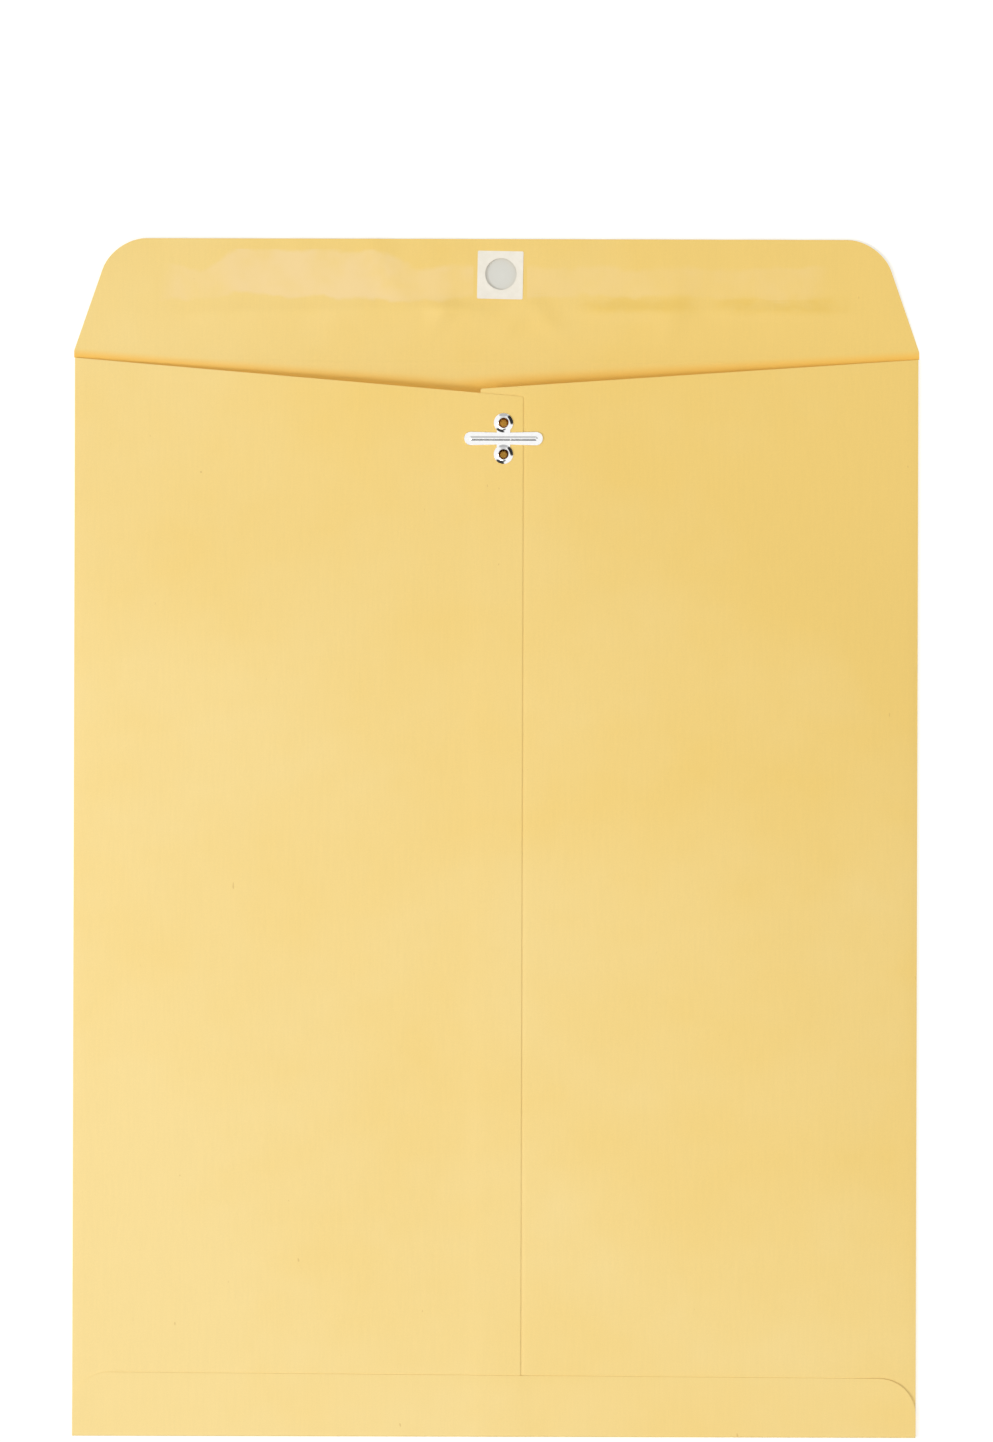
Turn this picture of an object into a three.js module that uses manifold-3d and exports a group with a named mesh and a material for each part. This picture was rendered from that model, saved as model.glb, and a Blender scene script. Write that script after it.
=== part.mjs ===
// A kraft clasp envelope lying on its front, with its flap open and its mouth a little ajar.
// Millimetres. X runs across the envelope, +Y towards the flap and +Z out of its back.
// The origin is under the middle of the open envelope, on the surface that it lies on.
import * as THREE from 'three';
import * as BufferGeometryUtils from 'three/addons/utils/BufferGeometryUtils.js';
import Module from 'manifold-3d';

// Sheet
const BODY_WIDTH = 254;            // across the two side folds
const BODY_HEIGHT = 324;           // from the bottom fold to the flap's fold
const PAPER = 0.15;
const SIDE_FOLD_GAP = 0.6;         // clear height inside the side folds
const MOUTH_RISE = 4.1;            // how much more the middle of the mouth stands open
const MOUTH_FLAT = 24;             // width of the stiff flat along the seam, under the clasp
const MOUTH_ARCH = 1.15;           // shape across the mouth: 1 is a tent, and higher is fuller
const POUCH_RISE = 5.2;            // the same for the pocket below its mouth
const POUCH_ARCH = 3;
const POUCH_START = 33;            // from the fold to where the mouth begins to change to the pouch
const POUCH_FULL = 95;
const TRIM = 2;                    // stock that the die cuts off

// Back panels and their seam
const SEAM_OVERLAP = 12.7;
const SEAM_OFFSET = 1.55;          // the overlap's middle, right of the envelope's
const SEAM_RAMP = 3.5;             // width over which the upper sheet climbs or falls at the seam
const SEAM_LEAD = 0.3;             // the climb ends this far before the lower sheet's edge
const LEFT_TOP_DROP = 11.7;        // top edge's fall from the side fold to the free corner
const RIGHT_TOP_DROP = 9.35;

// Bottom flap
const BOTTOM_FLAP_LEFT = 19.3;     // depth at its left end
const BOTTOM_FLAP_RIGHT = 17.8;
const BOTTOM_FLAP_CORNER = 11;
const BOTTOM_FLAP_INSET = 0.3;
const BOTTOM_FOLD_RADIUS = 0.6;

// Closure flap
const FLAP_DEPTH = 35.9;
const FLAP_SHOULDER = 2.2;         // straight part of its sides, next to the fold
const FLAP_SLANT = 19.3;           // degrees that the sides lean in above the shoulder
const FLAP_CORNER = 14;
const FOLD_CLEARANCE = 0.1;        // slit between the front panel and the flap
const HOLE_DIAMETER = 9.45;
const HOLE_FROM_FOLD = 25.4;
const HOLE_X = 1.2;

// Patch and gum on the flap
const PATCH_WIDTH = 13.7;
const PATCH_HEIGHT = 14.4;
const PATCH_PAPER = 0.12;
const PATCH_FROM_FOLD = 25.1;      // to the patch's middle
const PATCH_X = 1;
const PATCH_TILT = 1;              // degrees clockwise
const PATCH_CORNER = 0.4;
const GUM = 0.03;
const GUM_FROM_FOLD = 16.5;        // to the strip's lower edge
const GUM_WIDTH = 16.3;
const GUM_END_INSET = 25;          // from the envelope's side to the strip's end
const GUM_CORNER = 2;
const GUM_PATCH_GAP = 1.2;

// Glue
const GLUE = 0.03;
const FILM_GAP = 0.005;            // play on each side of a film
const SEAM_GLUE_WIDTH = 8;
const SEAM_GLUE_END = 5;           // bare stretch at each end of the seam
const BOTTOM_GLUE_WIDTH = 11;
const BOTTOM_GLUE_INSET = 3;       // from the bottom fold, and twice that from the sides
const GLUE_CORNER = 1.5;

// Clasp
const STEEL = 0.3;
const CLASP_X = 2.1;
const CLASP_FROM_FOLD = 24.3;
const CLASP_SEAT = 0.02;           // play between steel and paper
const BAR_LENGTH = 23.5;           // tip to tip with both prongs flat
const BEND_FROM_MIDDLE = 2.2;      // a prong's bend, from the clasp's middle
const BEND_CLEARANCE = 0.05;
const PRONG_ROOT_WIDTH = 3.6;
const PRONG_TIP_WIDTH = 4.1;
const PRONG_EDGE = 0.06;           // rounding of its edges
const RIB_WIDTH = 1.1;
const RIB_HEIGHT = 0.25;
const RIB_FROM_BEND = 0.6;
const RIB_FROM_TIP = 1.5;
const EYELET_SPACING = 9.4;
const EYELET_DIAMETER = 5.95;
const EYELET_BORE = 2.8;
const EYELET_HEIGHT = 0.8;
const CLINCH_DIAMETER = 5;
const EYELET_CLEARANCE = 0.07;     // radial, in the paper

// Fineness of the curved surfaces
const HALF_COLUMNS = 11;
const ROW_COUNT = 16;
const FOLD_STEPS = 8;
const ARC_STEPS = 8;
const HOLE_STEPS = 16;             // for each half turn of a hole
const EYELET_SIDES = 24;
const CROWN_STEPS = 4;

// Places that follow from the sizes
const FOLD_OUTER_RADIUS = SIDE_FOLD_GAP / 2 + PAPER;
const PANEL_HALF_WIDTH = BODY_WIDTH / 2 - FOLD_OUTER_RADIUS;
const OVERALL_LENGTH = BODY_HEIGHT + FLAP_DEPTH;
const BOTTOM_Y = -OVERALL_LENGTH / 2;
const PANEL_BOTTOM_Y = BOTTOM_Y + BOTTOM_FOLD_RADIUS;
const FOLD_Y = BOTTOM_Y + BODY_HEIGHT;
const PANEL_TOP_Y = FOLD_Y - FOLD_CLEARANCE / 2;
const FLAP_ROOT_Y = FOLD_Y + FOLD_CLEARANCE / 2;
const FLAP_EDGE_Y = FOLD_Y + FLAP_DEPTH;
const FILM = GLUE + 2 * FILM_GAP;
const SEAM_LEFT = SEAM_OFFSET - SEAM_OVERLAP / 2;
const SEAM_RIGHT = SEAM_OFFSET + SEAM_OVERLAP / 2;
const CLASP_Y = FOLD_Y - CLASP_FROM_FOLD;
const BARREL_RADIUS = EYELET_BORE / 2 + STEEL;
const PAPER_HOLE_RADIUS = BARREL_RADIUS + EYELET_CLEARANCE;

const wasm = await Module();
wasm.setup();

// Solid that manifold-3d can cut, from a closed geometry.
function toSolid(geometry) {
  const bare = geometry.clone();
  bare.deleteAttribute('normal');
  bare.deleteAttribute('uv');
  const merged = BufferGeometryUtils.mergeVertices(bare);
  const mesh = new wasm.Mesh({
    numProp: 3,
    vertProperties: new Float32Array(merged.attributes.position.array),
    triVerts: new Uint32Array(merged.index.array),
  });
  return new wasm.Manifold(mesh);
}

// Geometry to draw, from a cut solid.
function toGeometry(solid) {
  const mesh = solid.getMesh();
  const geometry = new THREE.BufferGeometry();
  geometry.setAttribute('position', new THREE.BufferAttribute(mesh.vertProperties, 3));
  geometry.setIndex(new THREE.BufferAttribute(mesh.triVerts, 1));
  geometry.computeVertexNormals();
  return geometry;
}

// Outline through corners [x, y, radius], each rounded by an arc where it has a radius.
function roundedOutline(corners) {
  const outline = new THREE.Shape();
  corners.forEach(([x, y, radius], index) => {
    if (radius === 0) {
      if (index === 0) {
        outline.moveTo(x, y);
      } else {
        outline.lineTo(x, y);
      }
      return;
    }
    const corner = new THREE.Vector2(x, y);
    const before = new THREE.Vector2(...corners[(index + corners.length - 1) % corners.length]);
    const after = new THREE.Vector2(...corners[(index + 1) % corners.length]);
    const back = before.sub(corner).normalize();
    const on = after.sub(corner).normalize();
    const halfAngle = Math.acos(back.dot(on)) / 2;
    const tangent = radius / Math.tan(halfAngle);
    const middle = back.clone().add(on).normalize().multiplyScalar(radius / Math.sin(halfAngle)).add(corner);
    const start = corner.clone().addScaledVector(back, tangent).sub(middle);
    const end = corner.clone().addScaledVector(on, tangent).sub(middle);
    const turnsBack = back.cross(on) > 0;
    outline.absarc(middle.x, middle.y, radius, start.angle(), end.angle(), turnsBack);
  });
  return outline;
}

function rectangle(left, bottom, right, top, radius) {
  return roundedOutline([
    [left, bottom, radius],
    [right, bottom, radius],
    [right, top, radius],
    [left, top, radius],
  ]);
}

// Flat piece cut to an outline, lying between two heights.
function flatPiece(outline, bottom, thickness) {
  const geometry = new THREE.ExtrudeGeometry(outline, {
    depth: thickness,
    bevelEnabled: false,
    curveSegments: ARC_STEPS,
  });
  return geometry.translate(0, 0, bottom);
}

// What a die of this outline leaves of a formed sheet.
function dieCut(solid, outline) {
  const reach = SIDE_FOLD_GAP + POUCH_RISE + EYELET_HEIGHT + TRIM;
  const die = flatPiece(outline, -reach, 3 * reach);
  return solid.intersect(toSolid(die));
}

// The same hole through a piece at both eyelets of the clasp.
function punchForEyelets(solid, radius) {
  let punched = solid;
  for (const side of [-1, 1]) {
    const punch = new THREE.CylinderGeometry(radius, radius, 2 * BODY_WIDTH, EYELET_SIDES);
    punch.rotateX(Math.PI / 2);
    punch.translate(CLASP_X, CLASP_Y + side * EYELET_SPACING / 2, 0);
    punched = punched.subtract(toSolid(punch));
  }
  return punched;
}

// Clear height of the pocket. At the sides and the bottom it is the folds' own gap. The mouth stands
// open like a low tent, flat along the seam and under the clasp, and below it lies a fuller pouch.
function pocketHeight(x, y) {
  const fromFlat = Math.abs(x - SEAM_OFFSET) - MOUTH_FLAT / 2;
  const flatToSide = PANEL_HALF_WIDTH - Math.sign(x - SEAM_OFFSET) * SEAM_OFFSET - MOUTH_FLAT / 2;
  const across = THREE.MathUtils.clamp(fromFlat / flatToSide, 0, 1);
  const down = THREE.MathUtils.clamp(FOLD_Y - y, 0, BODY_HEIGHT);
  const pouch = THREE.MathUtils.smoothstep(down, POUCH_START, POUCH_FULL);
  const arch = 1 - across ** THREE.MathUtils.lerp(MOUTH_ARCH, POUCH_ARCH, pouch);
  const closing = (1 - (down / BODY_HEIGHT) ** 3) ** 2;
  return SIDE_FOLD_GAP + THREE.MathUtils.lerp(MOUTH_RISE, POUCH_RISE, pouch) * arch * closing;
}

// How far the left panel climbs so as to lie over the right one.
function seamClimb(x) {
  const climb = (x - SEAM_LEFT + SEAM_RAMP) / (SEAM_RAMP - SEAM_LEAD);
  return (PAPER + FILM) * THREE.MathUtils.clamp(climb, 0, 1);
}

// Top of the two back panels together, as a sheet laid over them follows it.
function backTop(x, y) {
  const fall = THREE.MathUtils.clamp(1 - (x - SEAM_RIGHT) / SEAM_RAMP, 0, 1);
  return 2 * PAPER + pocketHeight(x, y) + seamClimb(x) * fall;
}

// Grid lines that all the formed sheets share, so that one lies on another without crossing it.
// They are closer near the side folds, where the sheets curve most, and under the bottom flap.
function gridColumns() {
  const columns = [SEAM_LEFT - SEAM_RAMP, SEAM_LEFT - SEAM_LEAD, SEAM_LEFT, SEAM_RIGHT, SEAM_RIGHT + SEAM_RAMP];
  columns.push(SEAM_OFFSET - MOUTH_FLAT / 2, SEAM_OFFSET + MOUTH_FLAT / 2);
  for (let step = -HALF_COLUMNS; step <= HALF_COLUMNS; step++) {
    columns.push(PANEL_HALF_WIDTH * Math.sin(step / HALF_COLUMNS * Math.PI / 2));
  }
  return columns.sort((a, b) => a - b);
}

function gridRows() {
  const rows = [];
  for (let step = 0; step <= ROW_COUNT; step++) {
    rows.push(THREE.MathUtils.lerp(PANEL_BOTTOM_Y, FOLD_Y, step / ROW_COUNT));
  }
  for (const share of [1 / 3, 2 / 3, 1.1]) {
    rows.push(BOTTOM_Y + share * BOTTOM_FLAP_LEFT);
  }
  return rows.sort((a, b) => a - b);
}

const COLUMNS = gridColumns();
const ROWS = gridRows();

// A station is a grid line, or a place in a fold, given by how far the sheet has turned there.
const FOLD_TURNS = Array.from({ length: FOLD_STEPS }, (_, step) => Math.PI * (1 - step / FOLD_STEPS));

// Closed sheet over a grid: place(u, v, outer) gives the point of its inner or outer face.
// Seen with the outer face up, u runs to the right and v away.
function formedSheet(us, vs, place) {
  const points = [];
  for (const outer of [false, true]) {
    for (const v of vs) {
      for (const u of us) {
        points.push(...place(u, v, outer));
      }
    }
  }
  const layer = us.length * vs.length;
  const triangles = [];
  const addQuad = (a, b, c, d) => triangles.push(a, b, c, a, c, d);
  for (let row = 0; row < vs.length - 1; row++) {
    for (let column = 0; column < us.length - 1; column++) {
      const near = row * us.length + column;
      const far = near + us.length;
      addQuad(layer + near, layer + near + 1, layer + far + 1, layer + far);
      triangles.push(near, far + 1, near + 1, near, far, far + 1);
    }
  }
  for (let column = 0; column < us.length - 1; column++) {
    const far = (vs.length - 1) * us.length + column;
    addQuad(column, column + 1, layer + column + 1, layer + column);
    addQuad(far + 1, far, layer + far, layer + far + 1);
  }
  for (let row = 0; row < vs.length - 1; row++) {
    const left = row * us.length;
    const right = left + us.length - 1;
    addQuad(left + us.length, left, layer + left, layer + left + us.length);
    addQuad(right, right + us.length, layer + right + us.length, layer + right);
  }
  const geometry = new THREE.BufferGeometry();
  geometry.setAttribute('position', new THREE.Float32BufferAttribute(points, 3));
  geometry.setIndex(triangles);
  return geometry;
}

// Point of a back panel, or of its side fold where the station is a turn.
function backPanelPoint(side, station, y, outer, climb) {
  if (station.turn) {
    const radius = SIDE_FOLD_GAP / 2 + (outer ? PAPER : 0);
    const x = side * (PANEL_HALF_WIDTH + radius * Math.sin(station.turn));
    return [x, y, FOLD_OUTER_RADIUS + radius * Math.cos(station.turn)];
  }
  const underside = PAPER + pocketHeight(station.x, y) + climb(station.x);
  return [station.x, y, underside + (outer ? PAPER : 0)];
}

function leftBackPanel() {
  const across = COLUMNS.filter((x) => x <= SEAM_RIGHT).concat(SEAM_RIGHT + TRIM);
  const stations = FOLD_TURNS.map((turn) => ({ turn })).concat(across.map((x) => ({ x })));
  const place = (station, y, outer) => backPanelPoint(-1, station, y, outer, seamClimb);
  const outline = roundedOutline([
    [-BODY_WIDTH / 2 - TRIM, PANEL_BOTTOM_Y - TRIM, 0],
    [SEAM_RIGHT, PANEL_BOTTOM_Y - TRIM, 0],
    [SEAM_RIGHT, PANEL_TOP_Y - LEFT_TOP_DROP, 0],
    [-BODY_WIDTH / 2, PANEL_TOP_Y, 0],
    [-BODY_WIDTH / 2 - TRIM, PANEL_TOP_Y, 0],
  ]);
  const sheet = toSolid(formedSheet(stations, ROWS, place));
  return toGeometry(punchForEyelets(dieCut(sheet, outline), PAPER_HOLE_RADIUS));
}

function rightBackPanel() {
  const across = [SEAM_LEFT - TRIM].concat(COLUMNS.filter((x) => x >= SEAM_LEFT));
  const turns = FOLD_TURNS.map((turn) => ({ turn })).reverse();
  const stations = across.map((x) => ({ x })).concat(turns);
  const place = (station, y, outer) => backPanelPoint(1, station, y, outer, () => 0);
  const outline = roundedOutline([
    [SEAM_LEFT, PANEL_BOTTOM_Y - TRIM, 0],
    [BODY_WIDTH / 2 + TRIM, PANEL_BOTTOM_Y - TRIM, 0],
    [BODY_WIDTH / 2 + TRIM, PANEL_TOP_Y, 0],
    [BODY_WIDTH / 2, PANEL_TOP_Y, 0],
    [SEAM_LEFT, PANEL_TOP_Y - RIGHT_TOP_DROP, 0],
  ]);
  const sheet = toSolid(formedSheet(stations, ROWS, place));
  return toGeometry(punchForEyelets(dieCut(sheet, outline), PAPER_HOLE_RADIUS));
}

// Point of the bottom flap, or of the bottom fold, which is as high as what the flap lies on.
function bottomFlapPoint(x, station, outer) {
  if (station.turn) {
    const height = backTop(x, PANEL_BOTTOM_Y) + FILM + PAPER;
    const inward = outer ? 0 : PAPER;
    const y = PANEL_BOTTOM_Y - (BOTTOM_FOLD_RADIUS - inward) * Math.sin(station.turn);
    return [x, y, height / 2 + (height / 2 - inward) * Math.cos(station.turn)];
  }
  return [x, station.y, backTop(x, station.y) + FILM + (outer ? PAPER : 0)];
}

function bottomFlap() {
  const deepest = Math.max(BOTTOM_FLAP_LEFT, BOTTOM_FLAP_RIGHT);
  const up = ROWS.filter((y) => y < BOTTOM_Y + deepest).concat(BOTTOM_Y + deepest + TRIM);
  const stations = FOLD_TURNS.map((turn) => ({ turn })).concat(up.map((y) => ({ y })));
  const across = [-BODY_WIDTH / 2, ...COLUMNS, BODY_WIDTH / 2];
  const end = BODY_WIDTH / 2 - BOTTOM_FLAP_INSET;
  const outline = roundedOutline([
    [-end, BOTTOM_Y - TRIM, 0],
    [end, BOTTOM_Y - TRIM, 0],
    [end, BOTTOM_Y + BOTTOM_FLAP_RIGHT, BOTTOM_FLAP_CORNER],
    [-end, BOTTOM_Y + BOTTOM_FLAP_LEFT, BOTTOM_FLAP_CORNER],
  ]);
  return toGeometry(dieCut(toSolid(formedSheet(across, stations, bottomFlapPoint)), outline));
}

// Dried glue along the seam, with the clasp's eyelets through it.
function centreSeamGlue() {
  const half = SEAM_GLUE_WIDTH / 2;
  const inside = COLUMNS.filter((x) => x > SEAM_OFFSET - half && x < SEAM_OFFSET + half);
  const across = [SEAM_OFFSET - half - TRIM, ...inside, SEAM_OFFSET + half + TRIM];
  const place = (x, y, outer) => [x, y, 2 * PAPER + pocketHeight(x, y) + FILM_GAP + (outer ? GLUE : 0)];
  const outline = rectangle(
    SEAM_OFFSET - half,
    PANEL_BOTTOM_Y + SEAM_GLUE_END,
    SEAM_OFFSET + half,
    PANEL_TOP_Y - LEFT_TOP_DROP - SEAM_GLUE_END,
    GLUE_CORNER,
  );
  const film = dieCut(toSolid(formedSheet(across, ROWS, place)), outline);
  return toGeometry(punchForEyelets(film, PAPER_HOLE_RADIUS + EYELET_CLEARANCE));
}

function bottomFlapGlue() {
  const end = BODY_WIDTH / 2 - 2 * BOTTOM_GLUE_INSET;
  const place = (x, y, outer) => [x, y, backTop(x, y) + FILM_GAP + (outer ? GLUE : 0)];
  const low = BOTTOM_Y + BOTTOM_GLUE_INSET;
  const up = ROWS.filter((y) => y < low + BOTTOM_GLUE_WIDTH).concat(low + BOTTOM_GLUE_WIDTH + TRIM);
  const outline = rectangle(-end, low, end, low + BOTTOM_GLUE_WIDTH, GLUE_CORNER);
  return toGeometry(dieCut(toSolid(formedSheet(COLUMNS, up, place)), outline));
}

function frontPanel() {
  const height = PANEL_TOP_Y - PANEL_BOTTOM_Y;
  const geometry = new THREE.BoxGeometry(2 * PANEL_HALF_WIDTH, height, PAPER);
  return geometry.translate(0, PANEL_BOTTOM_Y + height / 2, PAPER / 2);
}

function closureFlap() {
  const side = BODY_WIDTH / 2;
  const lean = (FLAP_DEPTH - FLAP_SHOULDER) * Math.tan(THREE.MathUtils.degToRad(FLAP_SLANT));
  const outline = roundedOutline([
    [-side, FLAP_ROOT_Y, 0],
    [side, FLAP_ROOT_Y, 0],
    [side, FOLD_Y + FLAP_SHOULDER, FLAP_SHOULDER],
    [side - lean, FLAP_EDGE_Y, FLAP_CORNER],
    [-side + lean, FLAP_EDGE_Y, FLAP_CORNER],
    [-side, FOLD_Y + FLAP_SHOULDER, FLAP_SHOULDER],
  ]);
  const hole = new THREE.Path();
  hole.absarc(HOLE_X, FOLD_Y + HOLE_FROM_FOLD, HOLE_DIAMETER / 2, 0, 2 * Math.PI);
  outline.holes.push(hole);
  return new THREE.ExtrudeGeometry(outline, { depth: PAPER, bevelEnabled: false, curveSegments: HOLE_STEPS });
}

// The patch about its own middle, with the flap's hole where the tilt puts it.
function reinforcementPatch() {
  const outline = rectangle(-PATCH_WIDTH / 2, -PATCH_HEIGHT / 2, PATCH_WIDTH / 2, PATCH_HEIGHT / 2, PATCH_CORNER);
  const centre = new THREE.Vector2(HOLE_X - PATCH_X, HOLE_FROM_FOLD - PATCH_FROM_FOLD);
  centre.rotateAround(new THREE.Vector2(), THREE.MathUtils.degToRad(PATCH_TILT));
  const hole = new THREE.Path();
  hole.absarc(centre.x, centre.y, HOLE_DIAMETER / 2, 0, 2 * Math.PI);
  outline.holes.push(hole);
  return new THREE.ExtrudeGeometry(outline, { depth: PATCH_PAPER, bevelEnabled: false, curveSegments: HOLE_STEPS });
}

// One of the two strips of gum, between the flap's end and the patch.
function gumStrip(side) {
  const outer = side * (BODY_WIDTH / 2 - GUM_END_INSET);
  const inner = PATCH_X + side * (PATCH_WIDTH / 2 + GUM_PATCH_GAP);
  const low = FOLD_Y + GUM_FROM_FOLD;
  const outline = rectangle(Math.min(outer, inner), low, Math.max(outer, inner), low + GUM_WIDTH, GUM_CORNER);
  return flatPiece(outline, PAPER + FILM_GAP, GUM);
}

// Steel plate with rounded edges, from its underside at zero up.
function pressedPlate(outline, edge) {
  const geometry = new THREE.ExtrudeGeometry(outline, {
    depth: STEEL - 2 * edge,
    bevelEnabled: edge > 0,
    bevelThickness: edge,
    bevelSize: edge,
    bevelOffset: -edge,
    bevelSegments: 2,
    curveSegments: ARC_STEPS,
  });
  return toSolid(geometry.translate(0, 0, edge));
}

// Round-ended bar along X whose section is an ellipse, for the rib and for the groove under it.
function ribBar(from, to, width, height, level) {
  const bar = new THREE.CapsuleGeometry(width / 2, to - from - width, 4, 16);
  bar.rotateZ(Math.PI / 2);
  bar.scale(1, 1, 2 * height / width);
  bar.translate((from + to) / 2, 0, level);
  return toSolid(bar);
}

// Embosses a plate: the rib stands up on its top and is hollow below.
function emboss(plate, from, to) {
  const rib = ribBar(from, to, RIB_WIDTH, RIB_HEIGHT, STEEL);
  const groove = ribBar(from + STEEL, to - STEEL, RIB_WIDTH - STEEL, RIB_HEIGHT, 0);
  return plate.add(rib).subtract(groove);
}

// Drawn eyelet: a hollow crown on the paper, a barrel through it and a rim clinched inside.
function eyelet() {
  const outer = EYELET_DIAMETER / 2;
  const bore = EYELET_BORE / 2;
  const crown = (outer + bore) / 2;
  const half = (outer - bore) / 2;
  const rim = -(2 * CLASP_SEAT + 2 * PAPER + FILM);
  const profile = new THREE.Path();
  profile.moveTo(outer, 0);
  profile.absellipse(crown, 0, half, EYELET_HEIGHT, 0, Math.PI, false);
  profile.lineTo(bore, rim);
  profile.absarc(BARREL_RADIUS, rim, STEEL, Math.PI, 1.5 * Math.PI, false);
  profile.lineTo(CLINCH_DIAMETER / 2, rim - STEEL);
  profile.lineTo(CLINCH_DIAMETER / 2, rim);
  profile.lineTo(BARREL_RADIUS, rim);
  profile.lineTo(BARREL_RADIUS, 0);
  profile.absellipse(crown, 0, half - STEEL, EYELET_HEIGHT - STEEL, Math.PI, 0, true);
  profile.lineTo(outer, 0);
  const ring = new THREE.LatheGeometry(profile.getPoints(CROWN_STEPS), EYELET_SIDES);
  return ring.rotateX(Math.PI / 2);
}

// The clasp's middle: the bar between the bends and the neck that joins the two eyelets.
function claspBase() {
  const side = BEND_FROM_MIDDLE - STEEL / 2 - BEND_CLEARANCE;
  const reach = EYELET_SPACING / 2 - BARREL_RADIUS;
  const outline = rectangle(-side, -reach, side, reach, 0);
  const crown = (EYELET_DIAMETER + EYELET_BORE) / 4;
  const embossed = emboss(pressedPlate(rectangle(-2 * side, -reach, 2 * side, reach, 0), 0), -BAR_LENGTH, BAR_LENGTH);
  let base = dieCut(embossed, outline);
  for (const end of [-1, 1]) {
    const clearing = new THREE.CylinderGeometry(crown, crown, 4 * EYELET_HEIGHT, EYELET_SIDES);
    clearing.rotateX(Math.PI / 2);
    clearing.translate(0, end * EYELET_SPACING / 2, 0);
    const ring = eyelet().translate(0, end * EYELET_SPACING / 2, 0);
    base = base.subtract(toSolid(clearing)).add(toSolid(ring));
  }
  return toGeometry(base);
}

// A prong from its bend, which is at the origin, out along X to its round tip.
function prong() {
  const length = BAR_LENGTH / 2 - BEND_FROM_MIDDLE;
  const tip = PRONG_TIP_WIDTH / 2;
  const root = PRONG_ROOT_WIDTH / 2;
  const outline = new THREE.Shape();
  outline.moveTo(0, -root);
  outline.lineTo(length - tip, -tip);
  outline.absarc(length - tip, 0, tip, -Math.PI / 2, Math.PI / 2, false);
  outline.lineTo(0, root);
  const knuckle = new THREE.CylinderGeometry(STEEL / 2, STEEL / 2, PRONG_ROOT_WIDTH, 12);
  const plate = emboss(pressedPlate(outline, PRONG_EDGE), RIB_FROM_BEND, length - RIB_FROM_TIP);
  const geometry = toGeometry(plate.add(toSolid(knuckle.translate(0, 0, STEEL / 2))));
  return geometry.translate(0, 0, -STEEL / 2);
}

// Finishes
const kraft = () => new THREE.MeshStandardMaterial({ color: 0xeecb80, roughness: 0.85, metalness: 0 });
const glue = () => new THREE.MeshStandardMaterial({ color: 0xe6dcc0, roughness: 0.4, metalness: 0 });
const gum = () => new THREE.MeshStandardMaterial({ color: 0xefd193, roughness: 0.5, metalness: 0 });
const whitePaper = () => new THREE.MeshStandardMaterial({ color: 0xeee6d9, roughness: 0.8, metalness: 0 });
const tinPlate = () => new THREE.MeshStandardMaterial({ color: 0xdcdde0, roughness: 0.2, metalness: 1 });

const envelope = new THREE.Group();

function addPart(name, geometry, material) {
  const mesh = new THREE.Mesh(geometry, material);
  mesh.name = name;
  envelope.add(mesh);
  return mesh;
}

addPart('front_panel', frontPanel(), kraft());
addPart('left_back_panel', leftBackPanel(), kraft());
addPart('right_back_panel', rightBackPanel(), kraft());
addPart('bottom_flap', bottomFlap(), kraft());
addPart('closure_flap', closureFlap(), kraft());
addPart('centre_seam_glue', centreSeamGlue(), glue());
addPart('bottom_flap_glue', bottomFlapGlue(), glue());
addPart('flap_gum_left', gumStrip(-1), gum());
addPart('flap_gum_right', gumStrip(1), gum());

const patch = addPart('reinforcement_patch', reinforcementPatch(), whitePaper());
patch.position.set(PATCH_X, FOLD_Y + PATCH_FROM_FOLD, PAPER + FILM_GAP);
patch.rotation.z = -THREE.MathUtils.degToRad(PATCH_TILT);

// The clasp seats on the two back panels where they overlap.
const clasp = new THREE.Vector3(CLASP_X, CLASP_Y, backTop(CLASP_X, CLASP_Y) + CLASP_SEAT);
addPart('clasp_base', claspBase(), tinPlate()).position.copy(clasp);

const leftProng = addPart('clasp_left_prong', prong(), tinPlate());
leftProng.position.copy(clasp).add(new THREE.Vector3(-BEND_FROM_MIDDLE, 0, STEEL / 2));
leftProng.rotation.z = Math.PI;
const rightProng = addPart('clasp_right_prong', prong(), tinPlate());
rightProng.position.copy(clasp).add(new THREE.Vector3(BEND_FROM_MIDDLE, 0, STEEL / 2));

export default envelope;
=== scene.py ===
"""Looks of a kraft clasp envelope that lies open on its front.
Everything is in metres: X across the envelope, +Y towards the flap, +Z out of its back."""
import math

import bpy
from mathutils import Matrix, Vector


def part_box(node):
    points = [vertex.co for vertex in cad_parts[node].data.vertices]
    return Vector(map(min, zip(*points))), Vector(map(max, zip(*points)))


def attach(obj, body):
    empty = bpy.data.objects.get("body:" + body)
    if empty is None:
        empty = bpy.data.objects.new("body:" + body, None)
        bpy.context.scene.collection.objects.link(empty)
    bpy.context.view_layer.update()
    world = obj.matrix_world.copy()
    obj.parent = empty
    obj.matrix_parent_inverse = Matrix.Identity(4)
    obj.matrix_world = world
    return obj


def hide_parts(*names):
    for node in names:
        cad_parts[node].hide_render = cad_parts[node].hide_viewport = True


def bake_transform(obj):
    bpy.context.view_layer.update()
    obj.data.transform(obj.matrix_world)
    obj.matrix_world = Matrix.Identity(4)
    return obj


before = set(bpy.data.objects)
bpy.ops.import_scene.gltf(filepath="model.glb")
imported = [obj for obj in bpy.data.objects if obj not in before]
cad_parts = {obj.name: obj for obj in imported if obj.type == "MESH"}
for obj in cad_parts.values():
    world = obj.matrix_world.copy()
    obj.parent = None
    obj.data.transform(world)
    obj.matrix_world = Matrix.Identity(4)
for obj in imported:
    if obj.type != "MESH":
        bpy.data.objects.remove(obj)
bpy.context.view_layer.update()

MM = 0.001

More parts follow.
